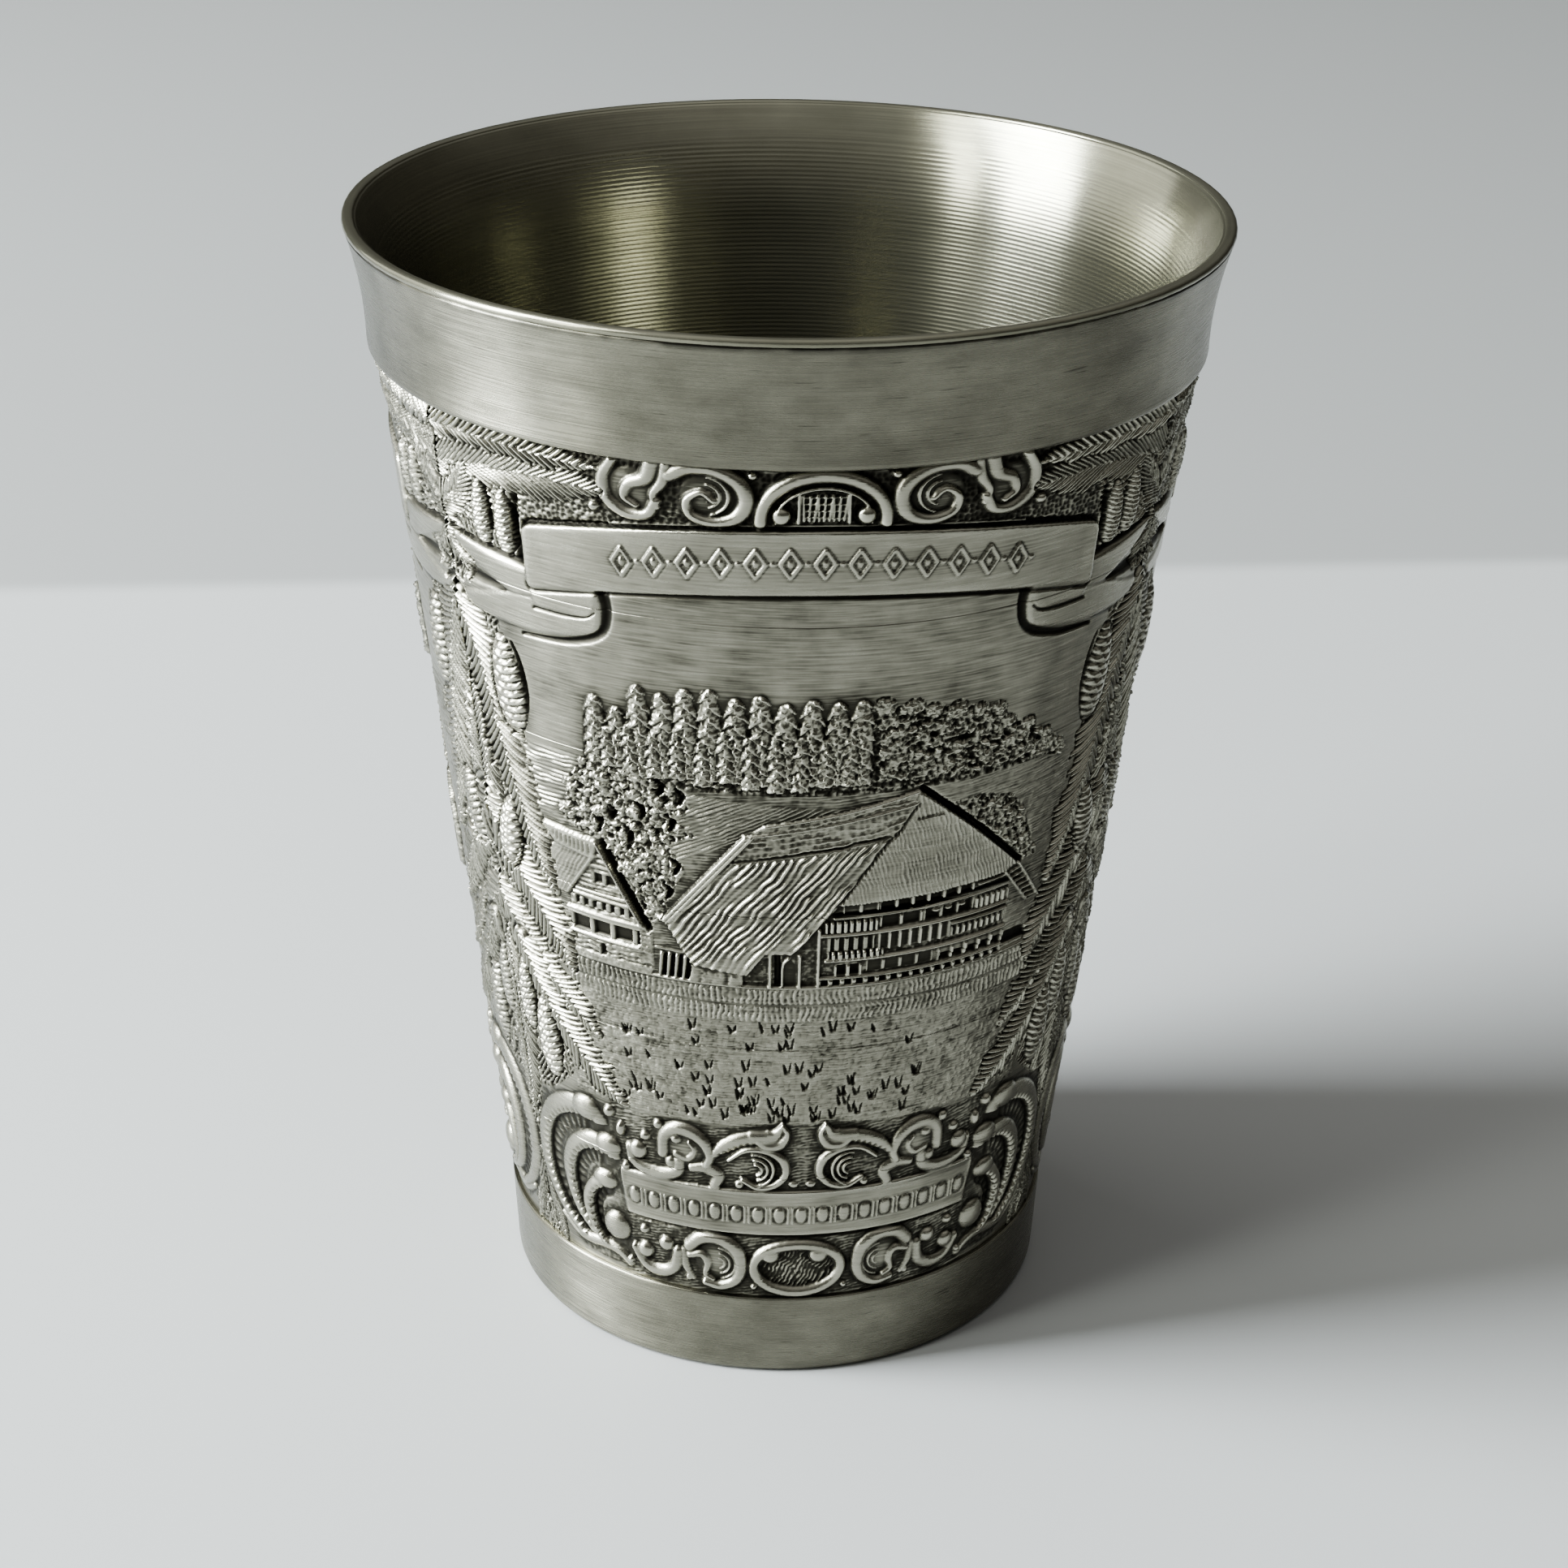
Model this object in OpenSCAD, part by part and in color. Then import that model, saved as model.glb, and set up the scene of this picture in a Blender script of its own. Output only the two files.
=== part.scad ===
// Small pewter beaker for a single measure of spirit: a turned liner with a rolled lip,
// three cast relief panels soldered round it, a turned rim band, a foot band and a base.
// +Z is up, the origin is at the middle of the foot, and the front panel faces -Y.

/* [Beaker] */
// Overall height, from the table to the lip
height = 60; // [50:1:72]
// Radius over the raised work where it meets the foot band
waist_r = 15; // [13:0.1:18]
// Radius over the raised work where it meets the rim band
shoulder_r = 20.9; // [19:0.1:25.1]

/* [Rim band] */
// Height of the smooth band below the lip
rim_h = 6.5; // [4:0.1:9]
// How far the band stands out beyond the raised work
rim_proud = 0.3; // [0.1:0.05:0.6]
// How far the lip flares out beyond the foot of the band
lip_flare = 1.0; // [0.5:0.1:2]
// Thickness of the rolled lip that covers the top of the band
lip_t = 0.4; // [0.3:0.05:0.8]

/* [Foot] */
// Height of the smooth band at the foot
foot_h = 4.9; // [4:0.1:8]
// How much the foot band narrows towards the table
foot_taper = 0.25; // [0:0.05:0.6]
// Radius of the rounded edges of both bands
edge_r = 0.45; // [0.2:0.05:0.6]
// Width of the ring that the beaker stands on, measured from the outer face
foot_ring_w = 2.2; // [1.6:0.1:4]

/* [Liner] */
// Wall of the liner behind the panels
liner_t = 0.65; // [0.5:0.05:1.2]
// Wall of the liner at the lip
lip_wall = 0.5; // [0.4:0.05:0.8]
// Thickness of the liner's floor
floor_t = 1.2; // [0.8:0.1:2]
// Radius of the fillet between floor and wall, inside
fillet_r = 3; // [1:0.1:6]

/* [Relief panels] */
// Thickness of a panel's sheet, without its raised work
panel_t = 0.5; // [0.4:0.05:1]
// Height of the raised work above the sheet
relief_h = 0.35; // [0.2:0.05:0.6]
// Width of the seam between two panels, in degrees round the beaker
seam_deg = 1.6; // [0.8:0.1:3]
// How far the solder in a seam lies below the sheet
seam_depth = 0.2; // [0.1:0.05:0.35]

/* [Raised work] */
// Half the sweep of the ribbon, in degrees
ribbon_half = 43; // [30:1:48]
// Width of the ribbon
ribbon_w = 3.8; // [2.5:0.1:5]
// From the panel's top edge down to the top of the ribbon's ends
ribbon_drop = 4.3; // [3.5:0.1:8]
// Rise of the ribbon's arch
ribbon_rise = 1.4; // [0:0.1:2.5]
// Half the sweep of the name plate, in degrees; the plate is blank
plate_half = 34; // [20:1:40]
// Height of the name plate
plate_w = 2.9; // [2:0.1:4]
// From the panel's bottom edge up to the plate
plate_rise = 4.5; // [4:0.1:6]
// From the panel's bottom edge up to the ground that the buildings stand on
ground_rise = 20; // [15:0.5:22]
// Height of the hedge along that ground
hedge_w = 1.1; // [0.6:0.1:2]
// Radius of the small balls above and below
ball_r = 0.5; // [0.3:0.05:0.7]

/* [Base] */
// Thickness of the base disc
base_t = 1.2; // [0.8:0.1:2]
// How far the disc lies above the table
base_recess = 1.3; // [0.8:0.1:2.5]
// Leg of the solder fillet under the disc
solder_leg = 0.6; // [0.3:0.05:0.7]

/* [Hidden] */
$fn = 96;
PANELS = 3;
sweep = 360 / PANELS;
panel_half = sweep / 2 - seam_deg / 2;   // half a panel's sweep
panel_top = height - rim_h;
bite = 0.1;                              // how deep raised work is rooted in its sheet
seat_z = base_recess + base_t;           // underside of the liner
floor_z = seat_z + floor_t;              // floor inside
slope = (shoulder_r - waist_r) / (panel_top - foot_h);
band_r = shoulder_r + rim_proud;
lip_r = band_r + lip_flare;
lip_seat = height - lip_t;               // top of the rim band
seat_r = lip_r - lip_t / 2;              // outer radius of the band under the lip

// Radii of the nested cones at a height z, from the outside in
function top_r(z) = waist_r + slope * (z - foot_h);
function sheet_r(z) = top_r(z) - relief_h;
function back_r(z) = sheet_r(z) - panel_t;
function bore_r(z) = back_r(z) - liner_t;

// Points of an arc about c, from angle a to angle b
function arc(c, r, a, b, n = 8) =
    [for (i = [0:n]) let (t = a + (b - a) * i / n) [c[0] + r * cos(t), c[1] + r * sin(t)]];

// The liner's outer radius where the rolled lip begins, and its bore at the lip
ring_t = (band_r - back_r(panel_top)) / 2;
neck_r = seat_r - ring_t;
mouth_r = neck_r - lip_wall;

// The flare leaves the band's rounded lower edge upright and bends out to the lip
flare_z = panel_top + edge_r;
flare_dz = lip_seat - flare_z;
flare_dr = seat_r - band_r;
flare_r = (flare_dz * flare_dz + flare_dr * flare_dr) / (2 * flare_dr);
flare_a = asin(flare_dz / flare_r);

module liner_cup() {
    wall_tilt = atan(slope);
    fillet_x = bore_r(floor_z + fillet_r) - fillet_r / cos(wall_tilt);
    fillet = arc([fillet_x, floor_z + fillet_r], fillet_r, -90, -wall_tilt);
    bead = arc([lip_r - lip_t / 2, height - lip_t / 2], lip_t / 2, -90, 90);
    inside_edge = arc([mouth_r + lip_t / 2, height - lip_t / 2], lip_t / 2, 90, 180, 4);
    color("lightslategray") rotate_extrude() polygon(concat(
        [[0, seat_z], [back_r(seat_z), seat_z], [back_r(panel_top), panel_top],
         [neck_r, lip_seat]],
        bead, inside_edge,
        [[bore_r(panel_top), panel_top]],
        [for (i = [len(fillet) - 1:-1:0]) fillet[i]],
        [[0, floor_z]]));
}

module rim_band() {
    edge = arc([band_r - edge_r, panel_top + edge_r], edge_r, -90, 0);
    flare = arc([band_r + flare_r, flare_z], flare_r, 180, 180 - flare_a, 12);
    color("silver") rotate_extrude() polygon(concat(
        [[back_r(panel_top), panel_top]], edge, flare, [[neck_r, lip_seat]]));
}

module foot_band() {
    toe_r = waist_r - foot_taper;
    toe = arc([toe_r - edge_r, edge_r], edge_r, -90, 0);
    color("silver") rotate_extrude() polygon(concat(
        [[toe_r - foot_ring_w, 0]], toe,
        [[waist_r, foot_h], [back_r(foot_h), foot_h], [back_r(seat_z), seat_z],
         [toe_r - foot_ring_w, seat_z]]));
}

module base_disc() {
    color("gray") translate([0, 0, base_recess])
        cylinder(r = waist_r - foot_taper - foot_ring_w, h = base_t);
}

module base_solder() {
    disc_r = waist_r - foot_taper - foot_ring_w;
    color("dimgray") rotate_extrude() polygon([
        [disc_r, base_recess], [disc_r - solder_leg, base_recess],
        [disc_r, base_recess - solder_leg]]);
}

// One strip of solder in the seam that a panel's left edge shares with its neighbour
module seam_solder(turn) {
    color("dimgray") rotate(turn - 90 + panel_half) rotate_extrude(angle = seam_deg) polygon([
        [back_r(foot_h), foot_h], [sheet_r(foot_h) - seam_depth, foot_h],
        [sheet_r(panel_top) - seam_depth, panel_top], [back_r(panel_top), panel_top]]);
}

// A panel's plain sheet, a third of the cone
module sheet() {
    rotate(-90 - panel_half) rotate_extrude(angle = 2 * panel_half) polygon([
        [back_r(foot_h), foot_h], [sheet_r(foot_h), foot_h],
        [sheet_r(panel_top), panel_top], [back_r(panel_top), panel_top]]);
}

// Keeps what an outline, drawn on the upright plane, covers of the raised layer
module raised() {
    intersection() {
        rotate_extrude() polygon([
            [sheet_r(foot_h) - bite, foot_h], [top_r(foot_h), foot_h],
            [top_r(panel_top), panel_top], [sheet_r(panel_top) - bite, panel_top]]);
        rotate([90, 0, 0]) linear_extrude(shoulder_r + 1) children();
    }
}

module relief_panel(turn) {
    rotate(turn) union() {
        sheet();
        raised() {
            frame_work();
            children();
        }
    }
}

// A point of the upright plane: angle a round the beaker, height z
function at(a, z) = [top_r(z) * sin(a), z];

// A band that follows the beaker from angle a to angle b, arched by rise
module strip(a, b, low, high, rise = 0, n = 12) {
    function lift(t) = rise * cos(90 * (2 * t - 1));
    polygon(concat(
        [for (i = [0:n]) let (t = i / n) at(a + (b - a) * t, low + lift(t))],
        [for (i = [n:-1:0]) let (t = i / n) at(a + (b - a) * t, high + lift(t))]));
}

// A hanging fir cone: an oval, w wide and h high
module fir_cone(a, z, w, h, n = 20) {
    polygon([for (i = [0:n - 1]) let (t = 360 * i / n)
        at(a, z) + [w / 2 * cos(t), h / 2 * sin(t)]]);
}

// The work that frames every panel: balls, ribbon, fir cones, hedge and name plate
module frame_work() {
    ribbon_z = panel_top - ribbon_drop - ribbon_w;
    plate_z = foot_h + plate_rise;
    for (a = [-42:7:42]) translate(at(a, panel_top - 1.9)) circle(ball_r);
    strip(-ribbon_half, ribbon_half, ribbon_z, ribbon_z + ribbon_w, ribbon_rise);
    for (s = [-1, 1]) {
        polygon([at(s * 31, ribbon_z - 2.1), at(s * 31, ribbon_z - 0.4),
                 at(s * 54, ribbon_z - 0.8), at(s * 52, ribbon_z - 1.6),
                 at(s * 54.5, ribbon_z - 2.4)]);
        fir_cone(s * 49, ribbon_z - 5.8, 2.2, 5.3);
        fir_cone(s * 53, ribbon_z - 14, 1.5, 3.6);
        fir_cone(s * 50, plate_z + 9, 1.8, 4);
    }
    strip(-54, 54, foot_h + ground_rise - hedge_w, foot_h + ground_rise);
    strip(-plate_half, plate_half, plate_z, plate_z + plate_w, 0);
    for (a = [-42:7:42]) translate(at(a, plate_z + plate_w + 1.4)) circle(ball_r);
    for (a = [-42:7:42]) translate(at(a, plate_z - 1.4)) circle(ball_r);
}

// A row of firs from angle a to angle b, standing at z, n of them
module firs(a, b, z, h, n) {
    step = (b - a) / n;
    for (i = [0:n - 1]) let (c = a + step * (i + 0.5))
        polygon([at(c - step * 0.42, z), at(c + step * 0.42, z), at(c + step * 0.3, z + h - 1),
                 at(c, z + h + (i % 2) * 0.6), at(c - step * 0.3, z + h - 1)]);
}

module relief_panel_front() {
    g = foot_h + ground_rise;
    color("darkgray") relief_panel(0) {
        firs(-32, 27, g + 11.8, 4.6, 16);
        // farmhouse: hipped roof and front
        polygon([at(-23, g + 3.1), at(-18.7, g + 0.9), at(-8, g + 0.9), at(-4, g + 2),
                 at(5.2, g + 4.7), at(35, g + 5.4), at(15.8, g + 11), at(-10.1, g + 8.8)]);
        polygon([at(0, g), at(34, g), at(34, g + 4.9), at(6, g + 4.2), at(0, g + 2.4)]);
        // shed
        polygon([at(-42, g), at(-27, g), at(-26.4, g + 2.7), at(-33.9, g + 7.4),
                 at(-43, g + 7.4), at(-44, g + 2.7)]);
    }
}

module relief_panel_right() {
    g = foot_h + ground_rise;
    color("darkgray") relief_panel(sweep) {
        firs(-36, 36, g + 11.8, 3.6, 18);
        // chapel: nave, tower and spire
        polygon([at(-14, g), at(-4, g), at(-4, g + 9), at(-9, g + 14.5), at(-14, g + 9)]);
        polygon([at(-3.4, g), at(24, g), at(26, g + 4.2), at(20, g + 8.2), at(-3.4, g + 8.2)]);
    }
}

module relief_panel_left() {
    g = foot_h + ground_rise;
    color("darkgray") relief_panel(-sweep) {
        firs(-36, 36, g + 11.8, 3.6, 18);
        // mill: house and wheel
        polygon([at(-10, g), at(22, g), at(22, g + 5), at(25, g + 5), at(17, g + 10.5),
                 at(-5, g + 10.5), at(-13, g + 5), at(-10, g + 5)]);
        translate(at(-22, g + 3.4)) difference() {
            circle(3);
            circle(2.2);
        }
        translate(at(-22, g + 3.4)) circle(0.7);
        for (t = [0:60:120]) translate(at(-22, g + 3.4)) rotate(t) square([5.2, 0.5], center = true);
    }
}

liner_cup();
rim_band();
relief_panel_front();
relief_panel_right();
relief_panel_left();
seam_solder(0);  // seam_solder_right
seam_solder(sweep);  // seam_solder_back
seam_solder(2 * sweep);  // seam_solder_left
foot_band();
base_disc();
base_solder();
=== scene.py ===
import math
import bpy
import numpy as np
from mathutils import Matrix, Vector


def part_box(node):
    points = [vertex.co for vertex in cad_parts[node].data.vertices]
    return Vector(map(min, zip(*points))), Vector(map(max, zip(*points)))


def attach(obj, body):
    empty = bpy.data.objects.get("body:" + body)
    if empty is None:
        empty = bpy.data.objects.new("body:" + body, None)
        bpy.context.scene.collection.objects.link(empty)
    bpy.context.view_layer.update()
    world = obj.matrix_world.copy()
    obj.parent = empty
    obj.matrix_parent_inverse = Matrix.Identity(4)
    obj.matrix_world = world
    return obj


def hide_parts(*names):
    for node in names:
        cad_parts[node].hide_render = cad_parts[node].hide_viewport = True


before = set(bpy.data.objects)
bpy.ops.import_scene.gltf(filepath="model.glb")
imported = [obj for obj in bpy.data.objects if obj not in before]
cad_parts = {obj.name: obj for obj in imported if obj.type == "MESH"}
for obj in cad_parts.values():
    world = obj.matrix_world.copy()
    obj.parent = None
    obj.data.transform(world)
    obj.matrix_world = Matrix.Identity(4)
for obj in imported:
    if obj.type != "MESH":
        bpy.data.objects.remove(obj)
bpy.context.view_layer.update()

mm = 0.001
footBox, rimBox, linerBox = (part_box(name) for name in ("foot_band", "rim_band", "liner_cup"))
beaker = {
    "height": linerBox[1].z,
    "lip": linerBox[1].x,            # outer radius of the lip
    "footTop": footBox[1].z,         # where the panels start
    "rimLow": rimBox[0].z,           # where they end
    "waist": footBox[1].x,           # radius over the raised work, low down
    "shoulder": linerBox[1].x - 1.3 * mm,  # and high up: the lip less its flare and the band's step
    "relief": 0.35 * mm,             # how far the raised work stands above its sheet
    "sheet": 0.5 * mm,               # sheet thickness
    "panels": 3,
    "seam": 1.6,                     # degrees of each open seam
}
slope = (beaker["shoulder"] - beaker["waist"]) / (beaker["rimLow"] - beaker["footTop"])

# A panel is a height field h(u, v) in mm over a flat chart: u runs round the beaker, v up it
chart = {
    "radius": 18.0,                  # one mm of u is 1/18 radian
    "halfWidth": 18.0 * math.radians((360 / beaker["panels"] - beaker["seam"]) / 2),
    "low": beaker["footTop"] / mm,
    "high": beaker["rimLow"] / mm,
}


# The relief's tools. Each works on the part of the field that it touches.
def smooth(x):  # S-shaped step from 0 to 1
    x = np.clip(x, 0, 1)
    return x * x * (3 - 2 * x)


def noise(x, y, seed):  # value noise: a random lattice, blended smoothly between its points
    column, row = np.floor(x).astype(int), np.floor(y).astype(int)
    across, up = smooth(x - column), smooth(y - row)
    lattice = np.random.default_rng(seed).random((64, 64))
    corner = [lattice[(row + j) % 64, (column + i) % 64] for j in (0, 1) for i in (0, 1)]
    low = corner[0] * (1 - across) + corner[1] * across
    high = corner[2] * (1 - across) + corner[3] * across
    return low * (1 - up) + high * up


def newField(columns, rows):  # even steps of u and v, all at height 0
    field = {"u": np.linspace(-chart["halfWidth"], chart["halfWidth"], columns),
             "v": np.linspace(chart["low"], chart["high"], rows)}
    field["h"] = np.zeros((rows, columns))
    return field


def curve(points, steps=7):  # Catmull-Rom curve through the points
    p = np.array(points, float)
    p = np.vstack([2 * p[0] - p[1], p, 2 * p[-1] - p[-2]])
    t = np.linspace(0, 1, steps, endpoint=False)[:, None]
    spans = [0.5 * (2 * b + (c - a) * t + (2 * a - 5 * b + 4 * c - d) * t ** 2
                    + (3 * b - a - 3 * c + d) * t ** 3)
             for a, b, c, d in zip(p, p[1:], p[2:], p[3:])]
    return np.vstack(spans + [p[-2:-1]])


def spiral(centre, outer, inner, start, end, steps=36):  # the radius shrinks by equal ratios
    t = np.linspace(0, 1, steps)
    angle, r = np.radians(start + (end - start) * t), outer * (inner / outer) ** t
    return np.stack([centre[0] + r * np.cos(angle), centre[1] + r * np.sin(angle)], 1)


def window(field, points, margin):  # the part of the grid within margin of the points
    low, high = np.min(points, 0) - margin, np.max(points, 0) + margin
    columns = slice(*np.searchsorted(field["u"], (low[0], high[0])))
    rows = slice(*np.searchsorted(field["v"], (low[1], high[1])))
    return (rows, columns), field["u"][None, columns], field["v"][rows, None]


def alongPath(u, v, path):  # distance to the path, side of it, and place along it
    shape = np.broadcast(u, v).shape
    gap, place, side = np.full(shape, 1e9), np.zeros(shape), np.ones(shape)
    start = 0.0
    for a, b in zip(path, path[1:]):
        d = b - a
        size = math.hypot(*d)
        t = np.clip(((u - a[0]) * d[0] + (v - a[1]) * d[1]) / max(size, 1e-9) ** 2, 0, 1)
        du, dv = u - a[0] - t * d[0], v - a[1] - t * d[1]
        near = np.hypot(du, dv)
        closer = near < gap
        gap = np.where(closer, near, gap)
        place = np.where(closer, start + t * size, place)
        side = np.where(closer, np.sign(d[0] * dv - d[1] * du), side)
        start += size
    return gap, side, place, start


def depthInside(u, v, outline):  # distance in from the outline, negative outside it
    ring = np.vstack([outline, outline[:1]]).astype(float)
    inside = np.zeros(np.broadcast(u, v).shape, bool)
    for a, b in zip(ring, ring[1:]):
        if a[1] != b[1]:
            crosses = (a[1] > v) != (b[1] > v)
            inside ^= crosses & (u < (b[0] - a[0]) * (v - a[1]) / (b[1] - a[1]) + a[0])
    gap = alongPath(u, v, ring)[0]
    return np.where(inside, gap, -gap)


# A rounded bar along a path, w(t) wide, notched by a comb across it or on one side.
def ridge(field, points, width, top, ends=(1, 1), foot=0.0, comb=0.0, pitch=0.3, side=0):
    path = np.asarray(points, float)
    where, u, v = window(field, path, width)
    gap, hand, place, total = alongPath(u, v, path)
    half = width * np.interp(place / total, [0, 0.5, 1], [ends[0], 1, ends[1]])
    across = np.clip(gap / np.maximum(half, 1e-6), 0, 1)
    body = (1 - across ** 2) ** 0.72
    if comb:
        notch = comb * (0.5 + 0.5 * np.cos(2 * np.pi * place / pitch))
        body = body * (1 - notch * (1 if side == 0 else (hand == side) * smooth(across * 2)))
    old = field["h"][where]
    field["h"][where] = np.where(across < 1, np.maximum(old, foot + (top - foot) * body), old)


def groove(field, points, width, depth, ends=(1, 1)):  # a cut along a path, smooth across it
    path = np.asarray(points, float)
    where, u, v = window(field, path, width)
    gap, _, place, total = alongPath(u, v, path)
    half = width * np.interp(place / total, [0, 0.5, 1], [ends[0], 1, ends[1]])
    field["h"][where] -= depth * smooth(1 - gap / np.maximum(half, 1e-6))


def ball(field, u0, v0, ru, rv, top, foot=0.0):  # half an ellipsoid
    where, u, v = window(field, [(u0, v0)], max(ru, rv))
    body = 1 - ((u - u0) / ru) ** 2 - ((v - v0) / rv) ** 2
    dome = foot + (top - foot) * np.sqrt(np.clip(body, 0, 1))
    old = field["h"][where]
    field["h"][where] = np.where(body > 0, np.maximum(old, dome), old)


# Replaces the ground inside an outline by a level, or by a texture of (u, v, depth inside).
def plateau(field, outline, level, bevel=0.1, texture=None):
    outline = np.asarray(outline, float)
    where, u, v = window(field, outline, bevel)
    depth = depthInside(u, v, outline)
    new = level + (texture(u, v, depth) if texture else 0)
    share = smooth(depth / bevel + 0.5)
    field["h"][where] += (new - field["h"][where]) * share


def flipped(points, s):  # the points, or their mirror image when s is -1
    return np.asarray(points, float) * (s, 1)


# Rounded bars: for each the points of its curve, half width, height and the shares at its ends.
def bars(field, s, rows, wider=1.0):
    for points, width, top, ends in rows:
        ridge(field, flipped(curve(points), s), width * wider, top, ends)


def balls(field, s, rows, foot=0.02):  # for each its place, its two radii and its height
    for u0, v0, ru, rv, top in rows:
        ball(field, s * u0, v0, ru, rv, top, foot)


# Ribs that follow part of a circle, one for each radius, thinner at both ends.
def flutes(field, s, centre, radii, start, end, width, top):
    for r in radii:
        ridge(field, flipped(spiral(centre, r, r, start, end, 14), s), width, top, (0.4, 0.4))


# Distance to the nearest of many jittered points, one for each cell of a square net, in cells;
# with it the point's own random number and the way to it.
def scattered(u, v, size, seed):
    x, y = np.broadcast_arrays(u / size, v / size)
    column, row = np.floor(x).astype(int), np.floor(y).astype(int)
    lattice = np.random.default_rng(seed).random((3, 64, 64))
    gap = np.full(x.shape, 9.0)
    second, pick, du, dv = gap.copy(), np.zeros(x.shape), np.zeros(x.shape), np.zeros(x.shape)
    for i in (-1, 0, 1):
        for j in (-1, 0, 1):
            place = (row + j) % 64, (column + i) % 64
            across = column + i + 0.15 + 0.7 * lattice[0][place] - x
            up = row + j + 0.15 + 0.7 * lattice[1][place] - y
            near = np.hypot(across, up)
            closer = near < gap
            second = np.where(closer, gap, np.minimum(second, near))
            pick = np.where(closer, lattice[2][place], pick)
            du, dv = np.where(closer, across, du), np.where(closer, up, dv)
            gap = np.where(closer, near, gap)
    return gap, second, pick, du, dv


def stipple(u, v, size, depth, seed):  # round pits punched close together
    gap = scattered(u, v, size * 1.5, seed)[0]
    return depth * (smooth(gap / 0.75) - 1)


# Chiselled facets: each cell is a flat tilted its own way, with a nick between the cells.
def facets(u, v, size, amount, seed):
    gap, second, pick, du, dv = scattered(u, v, size, seed)
    turn = 2 * np.pi * pick
    tilt = du * np.cos(turn) + dv * np.sin(turn)
    nick = smooth((second - gap) / 0.22)
    return amount * (0.9 * tilt + 0.6 * pick + 0.35 * nick - 0.6)


def roughCast(u, v, size, amount, seed):  # a slightly lumpy cast surface
    coarse = noise(u / size, v / size, seed)
    fine = noise(u / size * 2.3, v / size * 2.3, seed + 1)
    return amount * (coarse + 0.6 * fine - 0.8)


# Long raised strokes at an angle: a cosine across them that wanders, broken up along them.
def strokes(u, v, angle, spacing, length, amount, seed):
    c, s = math.cos(math.radians(angle)), math.sin(math.radians(angle))
    along, across = u * c + v * s, v * c - u * s
    wander = 0.9 * noise(along / length, across / spacing / 3, seed)
    wander = wander + 0.35 * noise(along / length * 3, across / spacing / 2, seed + 2)
    wave = 0.5 + 0.5 * np.cos(2 * np.pi * (across / spacing + wander))
    broken = smooth(noise(along / length * 1.7, across / spacing * 0.9, seed + 5) * 2.2 - 0.35)
    return amount * wave ** 1.3 * (0.3 + 0.7 * broken)


# The texture of a plateau: the sum of textures, each given as its function and its values.
def layered(*layers):
    return lambda u, v, depth: sum(kind(u, v, *values) for kind, *values in layers)


# A hanging cone: an oval dome cut into rows of scales that curve down at the middle.
def firCone(field, u0, v0, width, length, top, tilt=0, rows=10):
    where, u, v = window(field, [(u0, v0)], length / 2)
    c, s = math.cos(math.radians(tilt)), math.sin(math.radians(tilt))
    x, y = ((u - u0) * c + (v - v0) * s) / width * 2, ((v - v0) * c - (u - u0) * s) / length * 2
    x = x / (1 - 0.18 * y)
    body = 1 - x ** 2 - np.abs(y) ** 2.4
    phase = (y + 0.10 * (1 - x ** 2)) * rows / 2
    scale = phase - np.floor(phase)
    tile = x * 1.5 + 0.5 * (np.floor(phase) % 2)
    seam = 0.5 + 0.5 * np.cos(2 * np.pi * tile)
    dome = top * (np.sqrt(np.clip(body, 0, 1)) - 0.26 * smooth((scale - 0.62) / 0.3)
                  - 0.16 * seam * smooth((scale - 0.3) / 0.3))
    old = field["h"][where]
    field["h"][where] = np.where(body > 0, np.maximum(dome, 0.02), old)


# A fir twig: a thin stem with needles on both sides that lean towards its tip. Every needle has its
# own length and height, drawn from a table by its number; the gaps between their tips are cut down.
def firBranch(field, points, reach, top, pitch=0.28, lean=35, droop=(1, 1), seed=3):
    path = curve(points, 6)
    where, u, v = window(field, path, reach * 1.2)
    gap, hand, place, total = alongPath(u, v, path)
    t = place / total
    limit = reach * np.interp(t, [0, 0.2, 0.8, 1], [0.8, 1, 0.8, 0.2])
    limit = limit * np.where(hand > 0, droop[0], droop[1])
    lag = place - gap / math.tan(math.radians(lean)) * (1 - 0.3 * gap / reach)
    phase = lag / pitch + 0.5 * noise(place / 1.1, hand + 7, seed) + 0.5 * (hand > 0)
    table = np.random.default_rng(seed).random((2, 256))
    number = (np.floor(phase) + 100 * (hand > 0)).astype(int) % 256
    limit = limit * (0.72 + 0.46 * table[0][number])
    needle = np.sin(np.pi * (phase - np.floor(phase)))
    body = np.clip(1 - (gap / np.maximum(limit, 1e-6)) ** 2, 0, 1) ** 0.5
    crest = needle ** 0.7 * (0.75 + 0.35 * table[1][number])
    height = top * body * (0.12 + 0.88 * crest) + 0.12 * top * smooth(1 - gap / 0.1)
    height = height - 0.14 * smooth(gap / limit * 1.6 - 0.5) * (1 - needle)
    old = field["h"][where]
    edge = smooth((limit - gap) / 0.05)
    field["h"][where] = old + (np.maximum(height, -0.03) - old) * edge


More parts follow.
